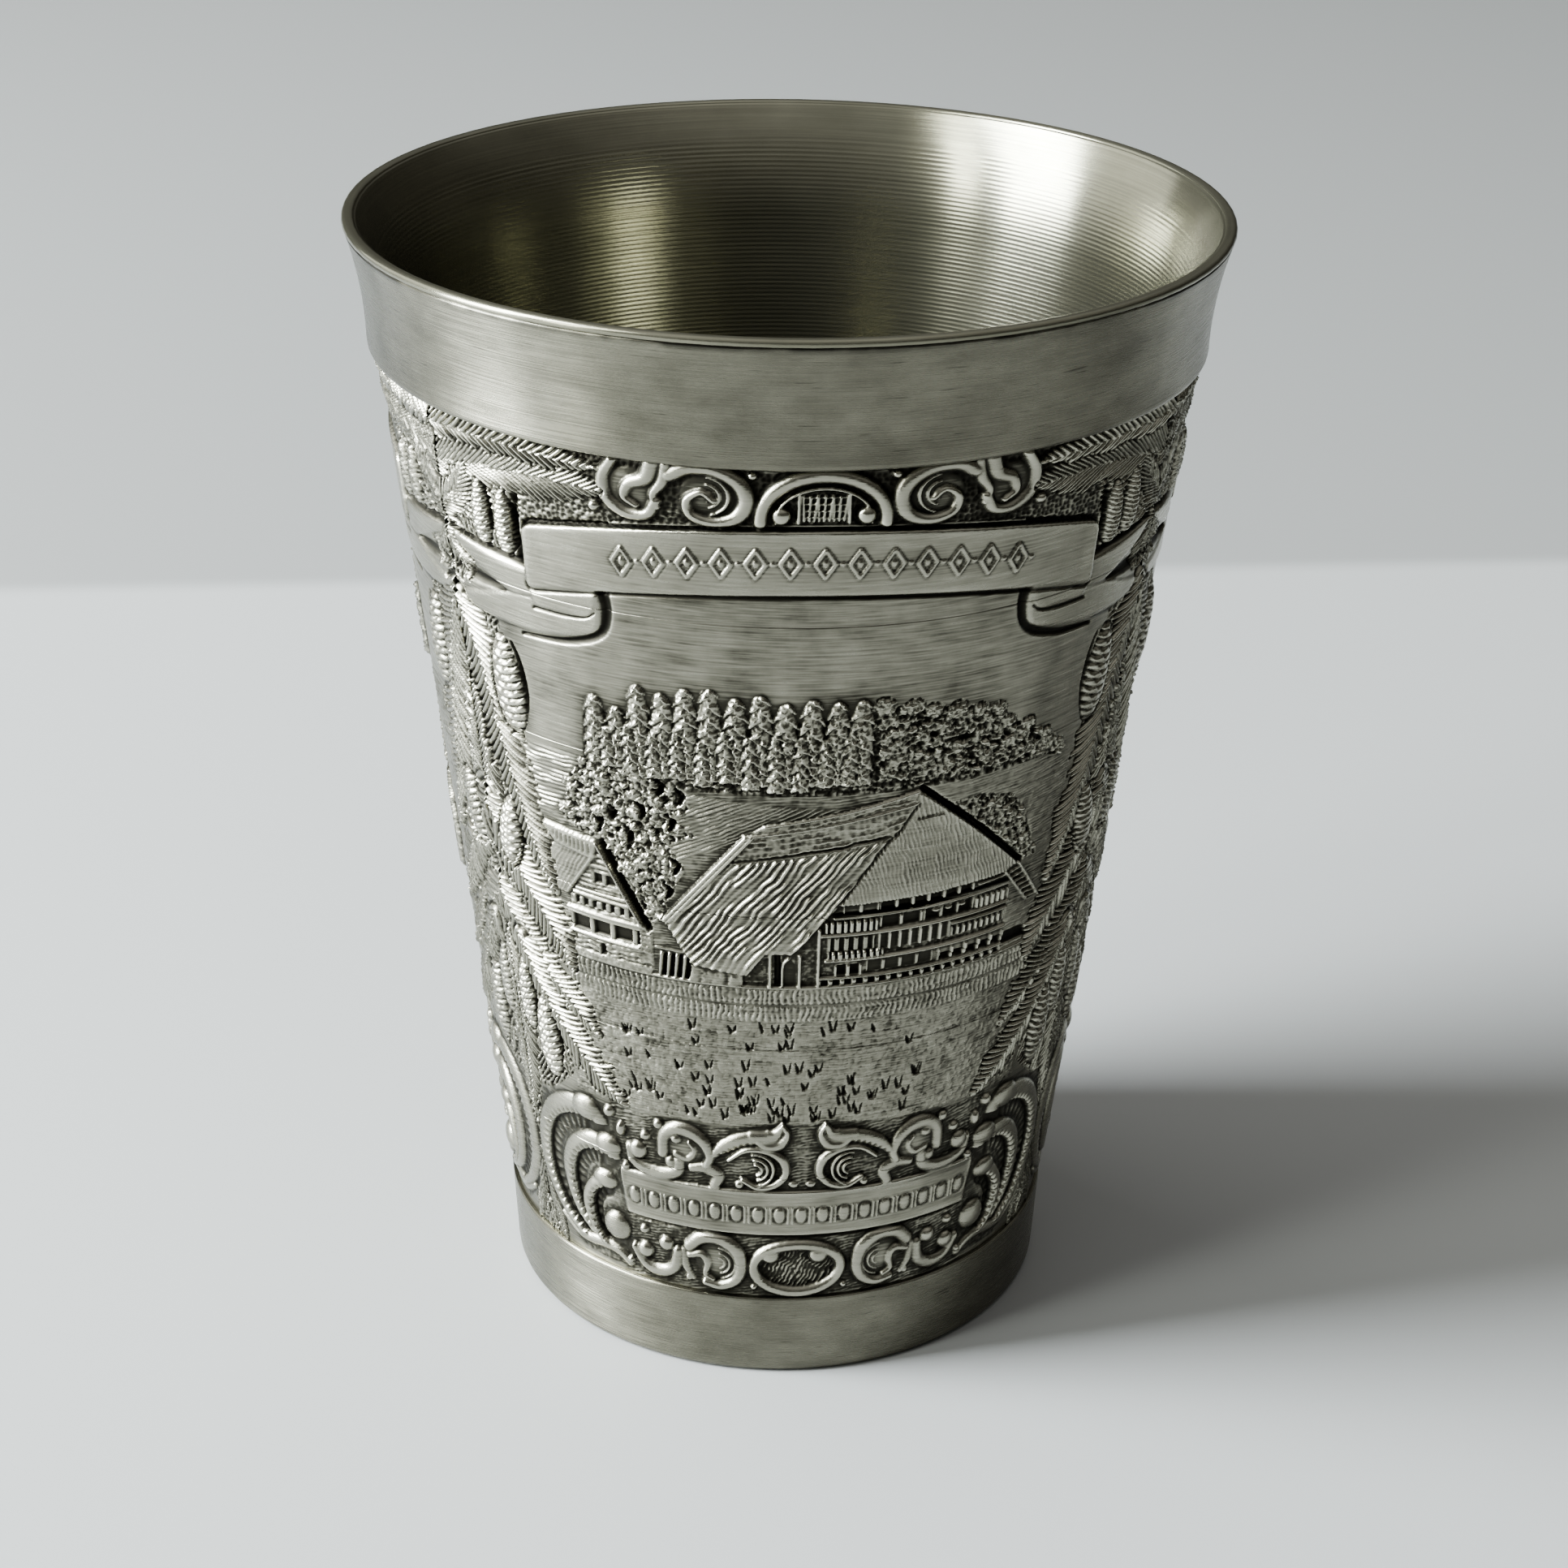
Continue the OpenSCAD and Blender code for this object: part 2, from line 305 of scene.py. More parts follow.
# One fir of a wood: boughs droop to the left and right of the stem by turns, each swelling down to
# a sharp lower edge; a round cap; the whole cut into small facets.
def firTree(field, u0, tip, bottom, half, top, seed, pitch=0.8):
    where, u, v = window(field, [(u0 - half, bottom), (u0 + half, tip)], 0.1)
    lean = 0.12 * (noise(v / 1.5, seed % 7 + 0 * v, seed) - 0.5)
    x, y = (u - u0 - lean) / half, tip - v
    hand = (x > 0) * 0.5
    phase = (y - 0.85 * np.abs(x) * half + 0.22 * noise(u * 3, v * 3, seed)) / pitch + hand
    phase = phase + 0.3 * noise(np.floor(phase), hand * 9 + 0 * phase, seed + 3)
    bough = phase - np.floor(phase)
    spread = np.clip(0.55 + 0.5 * y / 1.3, 0, 1) * (0.72 + 0.3 * bough)
    side = np.abs(x) / spread
    cap = y > 0.5 * half * (1 - np.sqrt(np.clip(1 - side ** 2, 0, 1)))
    shape = (side < 1) & cap & (v > bottom)
    dome = np.sqrt(np.clip(1 - side ** 2, 0, 1))
    ledge = bough ** 1.4 * smooth((1 - bough) / 0.12)
    rough = facets(u + 0 * v, v + 0 * u, 0.22, 0.09, seed + 1)
    height = top * (0.25 + 0.35 * dome + 0.5 * ledge * (0.4 + 0.6 * dome)) + rough * dome
    old = field["h"][where]
    field["h"][where] = np.where(shape, np.maximum(height, 0.03), old)


# A leafy mass: lumps of a random size over chiselled facets, with deep dark gaps between.
def foliage(field, outline, level, count, sizes, top, seed):
    def leaves(u, v, depth):
        return facets(u, v, 0.24, 0.16, seed) - 0.16 * smooth(noise(u / 0.5, v / 0.42, seed) * 3 - 1.7)

    outline = np.asarray(outline, float)
    plateau(field, outline, level + 0.06, 0.12, leaves)
    draw = np.random.default_rng(seed)
    low, high = outline.min(0), outline.max(0)
    spots = low + draw.random((count, 2)) * (high - low)
    depths = depthInside(spots[:, 0], spots[:, 1], outline)
    for (a, b), depth, pick, lift in zip(spots, depths, draw.random(count), draw.random(count)):
        size = sizes[0] + (sizes[1] - sizes[0]) * pick ** 2
        if depth > 0:
            where, u, v = window(field, [(a, b)], size)
            body = np.clip(1 - ((u - a) / size) ** 2 - ((v - b) / size / 0.85) ** 2, 0, 1)
            lump = level + (top - level) * lift * np.sqrt(body)
            lump = lump + facets(u + 0 * v, v + 0 * u, 0.17, 0.12, seed + 1)
            old = field["h"][where]
            field["h"][where] = np.where(body > 0, np.maximum(old, lump), old)


# A row of windows: a sunk strip with upright bars, bar being their share of the spacing.
def panes(field, left, right, low, high, count, level, depth, bar=0.3):
    def sash(u, v, inside):
        across = (u - left) / (right - left) * count
        return depth * smooth((np.abs(across - np.round(across)) < bar / 2) * 1.0)

    plateau(field, [(left, low), (right, low), (right, high), (left, high)], level, 0.06, sash)


ribbon = {
    "top": 50.4,                     # height of its edges at the middle, mm
    "bottom": 47.05,
    "sag": 0.0092,                   # how fast the arch falls to the sides
    "shift": -0.6,                   # where the arch is highest
    "half": 13.35,                   # half its length
    "corner": 0.4,                   # radius of its rounded corners
    "level": 0.26,
    "lozenges": 13,
    "spacing": 1.42,
}


def ribbonEdge(u, middle):  # an arch: the height falls with the square of the distance
    return middle - ribbon["sag"] * (u - ribbon["shift"]) ** 2


friezeWork = {
    "bars": [
        # the outer comma of leaves
        ([(8.6, 53.3), (9.05, 52.4), (8.9, 51.4), (8.1, 50.75), (7.2, 50.8), (6.8, 51.5)], 0.42, 0.40, (0.7, 0.7)),
        ([(6.9, 53.4), (7.2, 52.6), (7.9, 52.2), (8.1, 51.6), (7.6, 51.2)], 0.4, 0.42, (1.1, 0.5)),
        ([(6.3, 53.4), (6.5, 52.5), (6.9, 51.8), (6.7, 51.2)], 0.3, 0.36, (1.1, 0.5)),
        # the inner volute beside the arch
        ([(6.2, 52.9), (5.4, 53.35), (4.3, 53.3), (3.4, 52.7), (3.1, 51.8), (3.5, 51.0), (4.4, 50.7),
          (5.3, 51.0), (5.5, 51.7), (4.9, 52.2), (4.4, 51.8)], 0.42, 0.42, (1.0, 0.5)),
    ],
    "hollows": [(7.9, 51.8, 1.15, 1.25, 0.2), (4.6, 52.0, 1.2, 1.1, 0.18)],
    "berries": [(2.85, 53.15, 0.24, 0.24, 0.38), (9.55, 50.8, 0.28, 0.28, 0.34), (1.72, 51.15, 0.42, 0.5, 0.46)],
}


# The band of scrolls between the ribbon and the rim, on punched ground.
def frieze(field):
    a = np.linspace(-ribbon["half"], ribbon["half"], 25)
    arch = np.stack([a, ribbonEdge(a, ribbon["top"]) - 0.1], 1)
    plateau(field, np.vstack([arch, [(15, 53.6), (-15, 53.6)]]), 0.06, 0.1,
            layered((stipple, 0.17, 0.10, 11)))
    for s in (-1, 1):
        balls(field, s, friezeWork["hollows"])
        bars(field, s, friezeWork["bars"])
        flutes(field, s, (4.75, 52.0), (0.95, 0.6, 0.28), 95, 255, 0.14, 0.30)
        balls(field, s, friezeWork["berries"], 0)
        groove(field, flipped(spiral((1.72, 51.15), 0.5, 0.5, 60, 300), s), 0.12, 0.12)
        ridge(field, [(s * 1.02, 50.8), (s * 1.0, 52.3)], 0.1, 0.24)
    # the arch in the middle, with its grille
    oval = spiral((0, 0), 1, 1, -5, 185)
    ridge(field, oval * (2.55, 2.3) + (0, 50.9), 0.46, 0.42, (0.7, 0.7))
    ridge(field, oval * (1.95, 1.65) + (0, 50.9), 0.09, 0.30)
    for k in range(9):
        ridge(field, [(-0.8 + 0.2 * k, 50.9), (-0.85 + 0.2 * k + 0.1 * (k % 3), 52.2 - 0.1 * (k % 2))],
              0.07, 0.2)
    for k in range(4):
        ridge(field, [(-0.85, 51.1 + 0.32 * k), (0.85, 51.0 + 0.36 * k)], 0.05, 0.16)
    ridge(field, np.stack([a, ribbonEdge(a, ribbon["top"]) + 0.22], 1)[4:-4], 0.08, 0.2)


# The ribbon's two folds and swallow tails, outlined for the right.
ribbonEnd = {
    "upperTail": [(13.2, 46.5), (13.2, 44.9), (14.7, 45.05), (16.4, 45.75), (17.7, 46.35), (18.1, 47.0),
                  (15.2, 46.65), (13.2, 46.5)],
    "lowerTail": [(11, 46), (9.75, 46.0), (9.7, 44.5), (10.3, 43.85), (11.8, 43.45), (13.4, 43.2),
                  (15.4, 43.2), (17.3, 43.3), (17.9, 44.0), (16.4, 44.4), (14.7, 44.95), (12.5, 45.3), (11, 46)],
    "fold": [(13.3, 45.6), (13.0, 44.7), (11.5, 44.75), (10.0, 44.85), (9.8, 46.35), (11.4, 46.2), (13.2, 45.7)],
    # cuts round them: points, half width, depth and the shares at the ends
    "straightCuts": [([(18.3, 47.2), (15.2, 46.95), (13.4, 46.8)], 0.3, 0.25, (1, 1)),
                     ([(14.9, 45.0), (16.6, 45.1), (18.0, 45.2)], 0.55, 0.22, (0.3, 1.2))],
    "curvedCuts": [([(13.65, 50.2), (13.8, 48.5), (13.65, 47.0)], 0.35, 0.3, (1, 1)),
                   ([(9.5, 46.6), (9.35, 45.2), (9.8, 43.95), (11.5, 43.2), (14, 42.9)], 0.34, 0.2, (1.2, 0.4))],
    "foldCut": [(9.9, 45.1), (10.4, 44.75), (11.5, 44.62), (13.1, 44.6)],
}


# The ribbon, its folds and tails, and the row of lozenges along it.
def ribbonWork(field):
    def brushed(u, v, depth):
        return 0.012 * noise(u / 2.5, v / 0.09, 21) - 0.05 * smooth(1 - depth / 0.22)

    def curled(u, v, depth):
        return 0.08 * smooth((np.abs(u) - 12.3) / 1.0) + brushed(u, v, depth)

    for s in (-1, 1):
        for points, width, depth, ends in ribbonEnd["straightCuts"]:
            groove(field, flipped(points, s), width, depth, ends)
        for points, width, depth, ends in ribbonEnd["curvedCuts"]:
            groove(field, flipped(curve(points), s), width, depth, ends)
        for name, level, bevel in (("upperTail", 0.22, 0.14), ("lowerTail", 0.22, 0.14),
                                   ("fold", 0.26, 0.12)):
            plateau(field, flipped(curve(ribbonEnd[name], 4), s)[::-s], level, bevel, brushed)
        groove(field, flipped(curve(ribbonEnd["foldCut"]), s), 0.14, 0.14, (0.5, 1))
    a = ribbon["half"] * np.sin(np.radians(np.linspace(-90, 90, 41)))
    top, bottom = ribbonEdge(a, ribbon["top"]), ribbonEdge(a, ribbon["bottom"])
    share = np.clip((np.abs(a) - ribbon["half"]) / ribbon["corner"] + 1, 0, 1)
    corner = ribbon["corner"] * (1 - np.sqrt(1 - share ** 2))
    groove(field, np.stack([a, top - corner + 0.12], 1), 0.24, 0.16)
    groove(field, np.stack([a, bottom + corner - 0.10], 1), 0.16, 0.12)
    band = np.vstack([np.stack([a, top - corner], 1), np.stack([a, bottom + corner], 1)[::-1]])
    plateau(field, band, ribbon["level"], 0.14, curled)
    middle = (ribbon["top"] + ribbon["bottom"]) / 2 + 0.025
    for k in range(ribbon["lozenges"]):
        u0 = -8.4 + ribbon["spacing"] * k
        v0, nextU = ribbonEdge(u0, middle), u0 + ribbon["spacing"] / 2
        lozenge = [(u0 - 0.42, v0), (u0, v0 + 0.72), (u0 + 0.42, v0), (u0, v0 - 0.72), (u0 - 0.42, v0)]
        groove(field, lozenge, 0.24, 0.09)
        ridge(field, lozenge, 0.13, 0.37, foot=0.2)
        ball(field, u0, v0, 0.16, 0.26, 0.36, 0.2)
        ball(field, nextU, ribbonEdge(nextU, middle), 0.17, 0.17, 0.36, 0.2)


# Needles lying two ways over each other, which fill the ground between the twigs.
def needleBed(u, v, angle, seed):
    down = strokes(u, v, angle, 0.30, 1.5, 0.26, seed)
    across = strokes(u, v, angle - 55, 0.27, 1.0, 0.24, seed + 1)
    return np.maximum(down, across) - 0.05


twigWork = {
    # beds of needles: outline, then the angle and the seed of the needles
    "beds": [([(19, 5), (19, 44), (15.7, 43), (15.3, 37), (15.2, 33), (14.9, 29), (14.7, 25), (14.4, 21), (14.2, 17),
               (16.6, 15), (18.3, 11), (17.6, 5)], 72, 31),
             ([(19, 43), (19, 54), (12.8, 54), (11.2, 52.4), (13.2, 50.4), (14.2, 47), (17.8, 47), (17.9, 43)], 22, 33)],
    # twigs: points from root to tip, reach, height, lean in degrees, pitch and seed
    "twigs": [([(18.9, 50.5), (15.5, 51.3), (12.5, 51.7), (9.2, 51.6)], 1.5, 0.30, 30, 0.36, 5),
              ([(18.9, 48.0), (17.3, 49.6), (16.6, 51.0)], 1.1, 0.30, 32, 0.3, 6),
              ([(18.9, 52.7), (15, 52.9), (12, 52.9), (9.3, 52.75)], 0.85, 0.40, 40, 0.40, 4),
              ([(18.9, 47.0), (18.0, 46.1), (17.4, 44.6)], 1.0, 0.3, 34, 0.28, 14),
              ([(18.9, 43.5), (18.1, 41), (17.9, 37), (18.1, 33), (18.4, 29)], 1.3, 0.34, 34, 0.34, 8),
              ([(18.6, 43.4), (17.3, 40.5), (16.6, 37.5), (15.7, 33.5), (14.7, 30.5), (13.9, 28.4)],
               1.75, 0.36, 44, 0.40, 7),
              ([(18.9, 24), (18.3, 20.5), (18.2, 17), (18.6, 13)], 1.1, 0.28, 34, 0.32, 13),
              ([(18.7, 32.0), (17.0, 29.6), (15.4, 27.5), (14.0, 25.6), (13.2, 23.9)], 1.75, 0.38, 46, 0.38, 9),
              ([(18.9, 27), (17.0, 24.9), (15.2, 23.2), (13.3, 21.6), (11.9, 20.3)], 1.5, 0.36, 44, 0.36, 10),
              ([(17.2, 24.2), (15.3, 21.2), (13.6, 19.2), (11.9, 17.5), (10.5, 16.2)], 1.45, 0.38, 44, 0.36, 12),
              ([(18.9, 11), (18.0, 8.6), (17.4, 6.2), (16.9, 5)], 0.9, 0.24, 30, 0.28, 15)],
    # cones: place, width, length, height, tilt in degrees and rows of scales
    "cones": [(15.85, 48.8, 1.05, 3.6, 0.46, 0, 15), (14.45, 48.65, 1.05, 3.5, 0.46, 0, 15),
              (15.45, 39.7, 2.0, 5.5, 0.50, 4, 13), (16.9, 30.9, 1.7, 4.4, 0.50, -14, 12),
              (17.55, 20.7, 1.35, 4.6, 0.44, 0, 13), (15.95, 18.7, 1.75, 5.2, 0.50, 3, 14)],
}


# Fir twigs and hanging cones down both sides, drawn for the right and mirrored.
def twigs(field):
    for s in (-1, 1):
        for outline, angle, seed in twigWork["beds"]:
            plateau(field, flipped(outline, s)[::-s], 0.0, 0.3, layered((needleBed, angle * s, seed)))
        for points, reach, top, lean, pitch, seed in twigWork["twigs"]:
            firBranch(field, flipped(points, s), reach, top, pitch, lean, seed=seed)
        for u0, v0, width, length, top, tilt, rows in twigWork["cones"]:
            edge = spiral((0, 0), 1, 1, 60, -90, 12) * (width * 0.5 + 0.08, length * 0.5) + (-u0, v0)
            groove(field, flipped(edge, -s), 0.3, 0.28, (0.4, 0.4))
            firCone(field, s * u0, v0, width, length, top, -s * tilt, rows)


# The wall of a shell scroll. Outside its edge line it swells to top and falls away over reach, with
# small teeth along the edge; inside lies a hollow with flutes across it.
def shellWall(field, points, reach, top, side, ends=(1, 1), hollow=1.0, floor=0.0):
    path = np.asarray(points, float)
    where, u, v = window(field, path, max(reach, hollow) * 1.1)
    gap, hand, place, total = alongPath(u, v, path)
    share = np.interp(place / total, [0, 0.5, 1], [ends[0], 1, ends[1]])
    x = gap / (reach * share)
    tooth = 0.35 * (0.5 + 0.5 * np.cos(2 * np.pi * place / 0.42)) * smooth(1 - x / 0.45)
    swell = np.sqrt(np.clip(1 - ((x - 0.35) / 0.65) ** 2, 0, 1)) - tooth
    inner = gap / (hollow * share)
    flute = 0.07 * (0.5 + 0.5 * np.cos(2 * np.pi * place / 0.66)) * np.sin(np.pi * np.clip(inner, 0, 1))
    old = field["h"][where]
    outside = np.where((hand == side) & (x < 1), np.maximum(old, top * swell), old)
    sunk = outside + (floor + flute - outside) * smooth((1 - inner) / 0.3)
    field["h"][where] = np.where((hand == -side) & (inner < 1), sunk, outside)


shellWork = {
    "well": [(17.6, 15.0), (18.4, 11), (17.6, 7.4), (15, 5.2), (11, 5.2), (11, 9), (11.4, 12), (11.2, 14.5), (13, 16.0)],
    # shells: points of the edge, swell, height, width of the hollow and its floor
    "shells": [([(13.2, 14.4), (14.6, 14.35), (16.0, 13.6), (17.0, 12.3), (17.4, 10.6), (17.1, 9.0), (16.2, 7.6),
                 (14.9, 6.6)], 1.25, 0.34, 1.25, 0),
               ([(12.3, 12.5), (13.4, 12.5), (14.5, 11.8), (15.1, 10.6), (15.1, 9.2), (14.7, 8.1), (13.9, 7.2)],
                1.1, 0.38, 1.1, 0),
               ([(12.7, 10.2), (13.3, 9.8), (13.8, 9.0), (13.8, 8.1), (13.5, 7.2), (12.9, 6.6)], 0.85, 0.38, 0.8, -0.06)],
    "foot": [([(16.8, 6.9), (15.2, 6.1), (13.2, 6.25), (12.0, 6.1), (11.2, 5.6)], 0.45, 0.3, (0.5, 0.8))],
    "heads": [(13.5, 15.1, 1.15, 0.8, 0.48), (12.1, 13.15, 1.0, 0.72, 0.48), (12.6, 10.75, 0.95, 0.62, 0.42),
              (12.0, 7.85, 1.05, 0.95, 0.5), (11.75, 15.5, 0.4, 0.4, 0.42), (11.0, 14.6, 0.32, 0.5, 0.42),
              (10.85, 12.25, 0.3, 0.28, 0.38), (11.1, 5.85, 0.25, 0.25, 0.34)],
}


# Three nested shell scrolls at each end of the plate, with round heads.
def cornerScrolls(field):
    for s in (-1, 1):
        plateau(field, flipped(shellWork["well"], s)[::-s], 0.08, 0.4, layered((roughCast, 0.25, 0.04, 41)))
        for points, swell, top, hollow, floor in shellWork["shells"]:
            shellWall(field, flipped(curve(points), s), swell, top, s, (1, 0.5), hollow, floor)
        bars(field, s, shellWork["foot"])
        balls(field, s, shellWork["heads"])


plate = {
    "outline": [(-11.2, 9.15), (11.2, 9.15), (11.5, 10.5), (11.2, 12.05), (-11.2, 12.05), (-11.5, 10.5)],
    "beads": 17,
    "spacing": 1.3,
    "level": 0.2,
    "well": [(-11.6, 16.2), (-9, 16), (-5, 16), (-2, 16.4), (2, 16.4), (5, 16.2), (9, 16), (11.6, 16.2), (11.6, 5),
             (-11.6, 5)],
    "upperRow": [([(10.5, 13.6), (10.3, 12.8), (9.4, 12.4), (8.4, 12.35), (7.5, 12.7), (7.3, 13.4)], 0.42, 0.36, (0.7, 0.9)),
                 ([(8.3, 13.8), (8.15, 14.9), (7.4, 15.5), (6.5, 15.45), (5.75, 14.9), (5.4, 14.1), (5.6, 13.5)],
                  0.46, 0.42, (0.8, 0.6)),
                 ([(7.4, 13.9), (6.7, 13.75), (6.3, 14.3), (6.6, 14.8)], 0.26, 0.36, (1.2, 0.5)),
                 ([(6.5, 13.15), (5.6, 13.25), (4.95, 12.85), (5.15, 12.2)], 0.42, 0.34, (0.7, 0.8)),
                 ([(2.9, 15.5), (2.0, 15.55), (1.5, 15.85), (1.2, 16.5)], 0.5, 0.40, (0.9, 0.15)),
                 ([(1.2, 16.4), (0.95, 15.8), (1.35, 15.15), (2.1, 15.05), (2.6, 15.4)], 0.36, 0.44, (0.3, 0.9)),
                 ([(4.3, 14.0), (3.3, 14.7), (2.1, 14.7), (1.2, 14.1), (1.0, 13.2), (1.6, 12.5), (2.6, 12.3),
                   (3.5, 12.75)], 0.3, 0.38, (0.5, 0.6))],
    "leaf": [(5.7, 13.5), (4.9, 14.5), (3.8, 15.2), (2.7, 15.5)],
    "lowerRow": [([(6.9, 7.9), (6.1, 8.55), (5.0, 8.65), (4.0, 8.0), (3.65, 7.0), (3.95, 6.0), (4.9, 5.5), (5.9, 5.65)],
                  0.46, 0.44, (0.9, 0.6)),
                 ([(6.9, 7.3), (6.1, 7.45), (5.75, 6.9), (5.9, 6.2), (5.4, 5.9)], 0.32, 0.38, (0.8, 0.5)),
                 ([(10.7, 6.9), (10.0, 5.95), (8.9, 5.7), (8.0, 6.2), (7.7, 7.3)], 0.42, 0.38, (0.7, 0.9)),
                 ([(7.3, 7.4), (7.2, 6.4), (6.7, 5.7)], 0.3, 0.26, (1, 0.5))],
    "hollows": [(6.9, 14.3, 1.35, 1.15, 0.24), (5.1, 7.1, 1.5, 1.4, 0.2)],
    "berries": [(9.95, 13.55, 0.62, 0.6, 0.46), (9.4, 14.6, 0.38, 0.32, 0.36), (8.5, 15.55, 0.34, 0.34, 0.36),
                (7.8, 13.3, 0.42, 0.42, 0.40), (3.7, 12.4, 0.3, 0.28, 0.34), (9.95, 6.9, 0.6, 0.55, 0.46),
                (8.45, 7.7, 0.55, 0.5, 0.46), (9.95, 8.25, 0.36, 0.3, 0.34), (2.85, 5.55, 0.24, 0.22, 0.3),
                (7.0, 5.75, 0.28, 0.28, 0.32), (0.5, 12.5, 0.34, 0.24, 0.28), (7.4, 14.9, 0.4, 0.35, 0.44)],
    "wider": 1.2,                    # how much fuller the scrolls' bars are made
}


# The plate with its bead-and-reel row, between an upper and a lower row of scrolls.
def plateWork(field):
    def lips(u, v, depth):
        return 0.07 * smooth(1 - depth / 0.45) + 0.012 * noise(u / 2, v / 0.1, 55)

    wider = plate["wider"]
    plateau(field, plate["well"], 0.07, 0.3, layered((strokes, 8, 0.2, 0.8, 0.05, 47),
                                                     (roughCast, 0.22, 0.04, 48)))
    for s in (-1, 1):
        for u0, v0, ru, rv, top in plate["hollows"]:
            ball(field, s * u0, v0, ru, rv, top, 0.03)
        bars(field, s, plate["upperRow"] + plate["lowerRow"], wider)
        leaf = flipped(curve(plate["leaf"]), s)
        ridge(field, leaf, 0.42 * wider, 0.38, (0.35, 1.1), comb=0.2, pitch=0.4, side=s)
        flutes(field, s, (2.7, 13.45), (1.0, 0.66, 0.34), 75, 265, 0.15 * wider, 0.34)
        flutes(field, s, (5.0, 7.0), (1.0, 0.66, 0.34), 90, 265, 0.13 * wider, 0.30)
        balls(field, s, plate["berries"])
    # the oval boss at the foot
    boss = spiral((0, 0), 1, 1, 0, 350) * (2.6, 1.5) + (-0.15, 6.85)
    plateau(field, boss, 0.0, 0.2, layered((strokes, 60, 0.26, 0.4, 0.12, 51)))
    ridge(field, spiral((0, 0), 1, 1, 0, 360) * (2.75, 1.6) + (-0.15, 6.85), 0.42, 0.40)
    for u0 in (-1.85, 1.15):
        ball(field, u0, 7.75, 0.62, 0.55, 0.46, 0.02)
    groove(field, [(-11.2, 9.02), (11.2, 9.02)], 0.2, 0.12)
    plateau(field, plate["outline"], plate["level"], 0.12, lips)
    for k in range(plate["beads"]):
        u0 = (k - (plate["beads"] - 1) / 2) * plate["spacing"]
        groove(field, spiral((u0, 10.45), 0.5, 0.5, 0, 360), 0.2, 0.05)
        ball(field, u0, 10.45, 0.38, 0.55, 0.35, 0.14)
        if k < plate["beads"] - 1:
            for step in (0.52, 0.78):
                ridge(field, [(u0 + step, 9.95), (u0 + step, 10.95)], 0.1, 0.30, foot=0.14)


# Ground with soft lumps, short level scratches and rows of V-shaped tufts cut into it.
tuftRows = [(22.1, 10), (21.1, 9), (19.6, 10), (18.8, 10), (18.1, 10), (17.6, 13), (17.1, 14), (16.7, 10)]


def meadow(field, low, high, seed):
    turf = layered((roughCast, 0.45, 0.045, seed), (strokes, 3, 0.16, 0.5, 0.035, seed + 3),
                   (facets, 0.3, 0.03, seed + 7))
    plateau(field, [(-14, low), (14, low), (14, high), (-14, high)], 0.13, 0.3, turf)
    draw = np.random.default_rng(seed)
    for v0, count in tuftRows:
        for u0 in -10.5 + 17 * draw.random(count):
            v1 = v0 + 0.35 * (draw.random() - 0.5)
            tall = 0.35 + 0.25 * draw.random()
            groove(field, [(u0 - 0.16, v1 + tall), (u0, v1)], 0.13, 0.14, (0.4, 1.2))
            if draw.random() < 0.8:
                groove(field, [(u0 + 0.26, v1 + tall * 1.2), (u0 + 0.17, v1 + 0.05)], 0.1, 0.12, (0.4, 1.1))


# A strip of short upright strokes.
def hedge(field, low, high, left, right, seed):
    area = [(left, low), (right, low), (right, high), (left, high)]
    plateau(field, area, 0.14, 0.12, layered((strokes, 90, 0.3, 0.5, 0.1, seed),
                                             (stipple, 0.15, 0.03, seed)))


# The wood: the tops of the firs' back row, the crowns' outline and their round heads.
woodland = {
    "tips": [40.6, 40.2, 41.6, 41.35, 41.75, 41.85, 41.5, 41.7, 41.3, 41.5, 41.35, 41.4],
    "spacing": 1.13,
    "belt": [(-11.2, 36.2), (13, 36.2), (12.4, 37.4), (10.6, 38.2), (9.2, 39.6), (5, 40.4), (-9.5, 40), (-10.9, 39.4)],
    "crowns": [(3.0, 36.9), (2.9, 40.8), (4.6, 40.9), (5.4, 40.5), (7.3, 40.4), (9.0, 40.0), (9.5, 38.9), (11, 38.3),
               (12.6, 37.3), (13.6, 36.5), (13.4, 35.9), (10.5, 36.5)],
    "heads": [(3.0, 40.9, 0.6), (4.4, 40.7, 0.55), (5.4, 40.4, 0.5), (6.6, 40.2, 0.6), (7.7, 40.0, 0.42),
              (8.8, 39.8, 0.45), (9.5, 38.9, 0.4), (10.7, 38.4, 0.5), (12.0, 37.5, 0.4), (13.1, 36.5, 0.4)],
}


# The row of firs behind the farm, a lower row before it, and rounded crowns towards the right.
def wood(field, seed):
    draw = np.random.default_rng(seed)
    plateau(field, woodland["belt"], 0.07, 0.2, layered((facets, 0.26, 0.15, seed + 1)))
    for k, tip in enumerate(woodland["tips"]):
        u0 = -10.4 + woodland["spacing"] * k
        firTree(field, u0, tip, 36.6 + 0.5 * draw.random(), 0.62, 0.40, seed + k)
    for k in range(len(woodland["tips"]) - 1):
        u0, tip = -9.75 + woodland["spacing"] * k, 39.0 + 0.8 * draw.random()
        firTree(field, u0, tip, 36.4 + 0.5 * draw.random(), 0.5, 0.42, seed + 40 + k, 0.62)
    foliage(field, woodland["crowns"], 0.08, 260, (0.14, 0.34), 0.30, seed + 20)
    for u0, v0, r in woodland["heads"]:
        ball(field, u0, v0, r, r * 0.9, 0.3, 0.05)
        where, u, v = window(field, [(u0, v0)], r)
        near = np.hypot(u - u0, v - v0) < r
        field["h"][where] += near * (facets(u + 0 * v, v + 0 * u, 0.2, 0.13, 91) - 0.03)


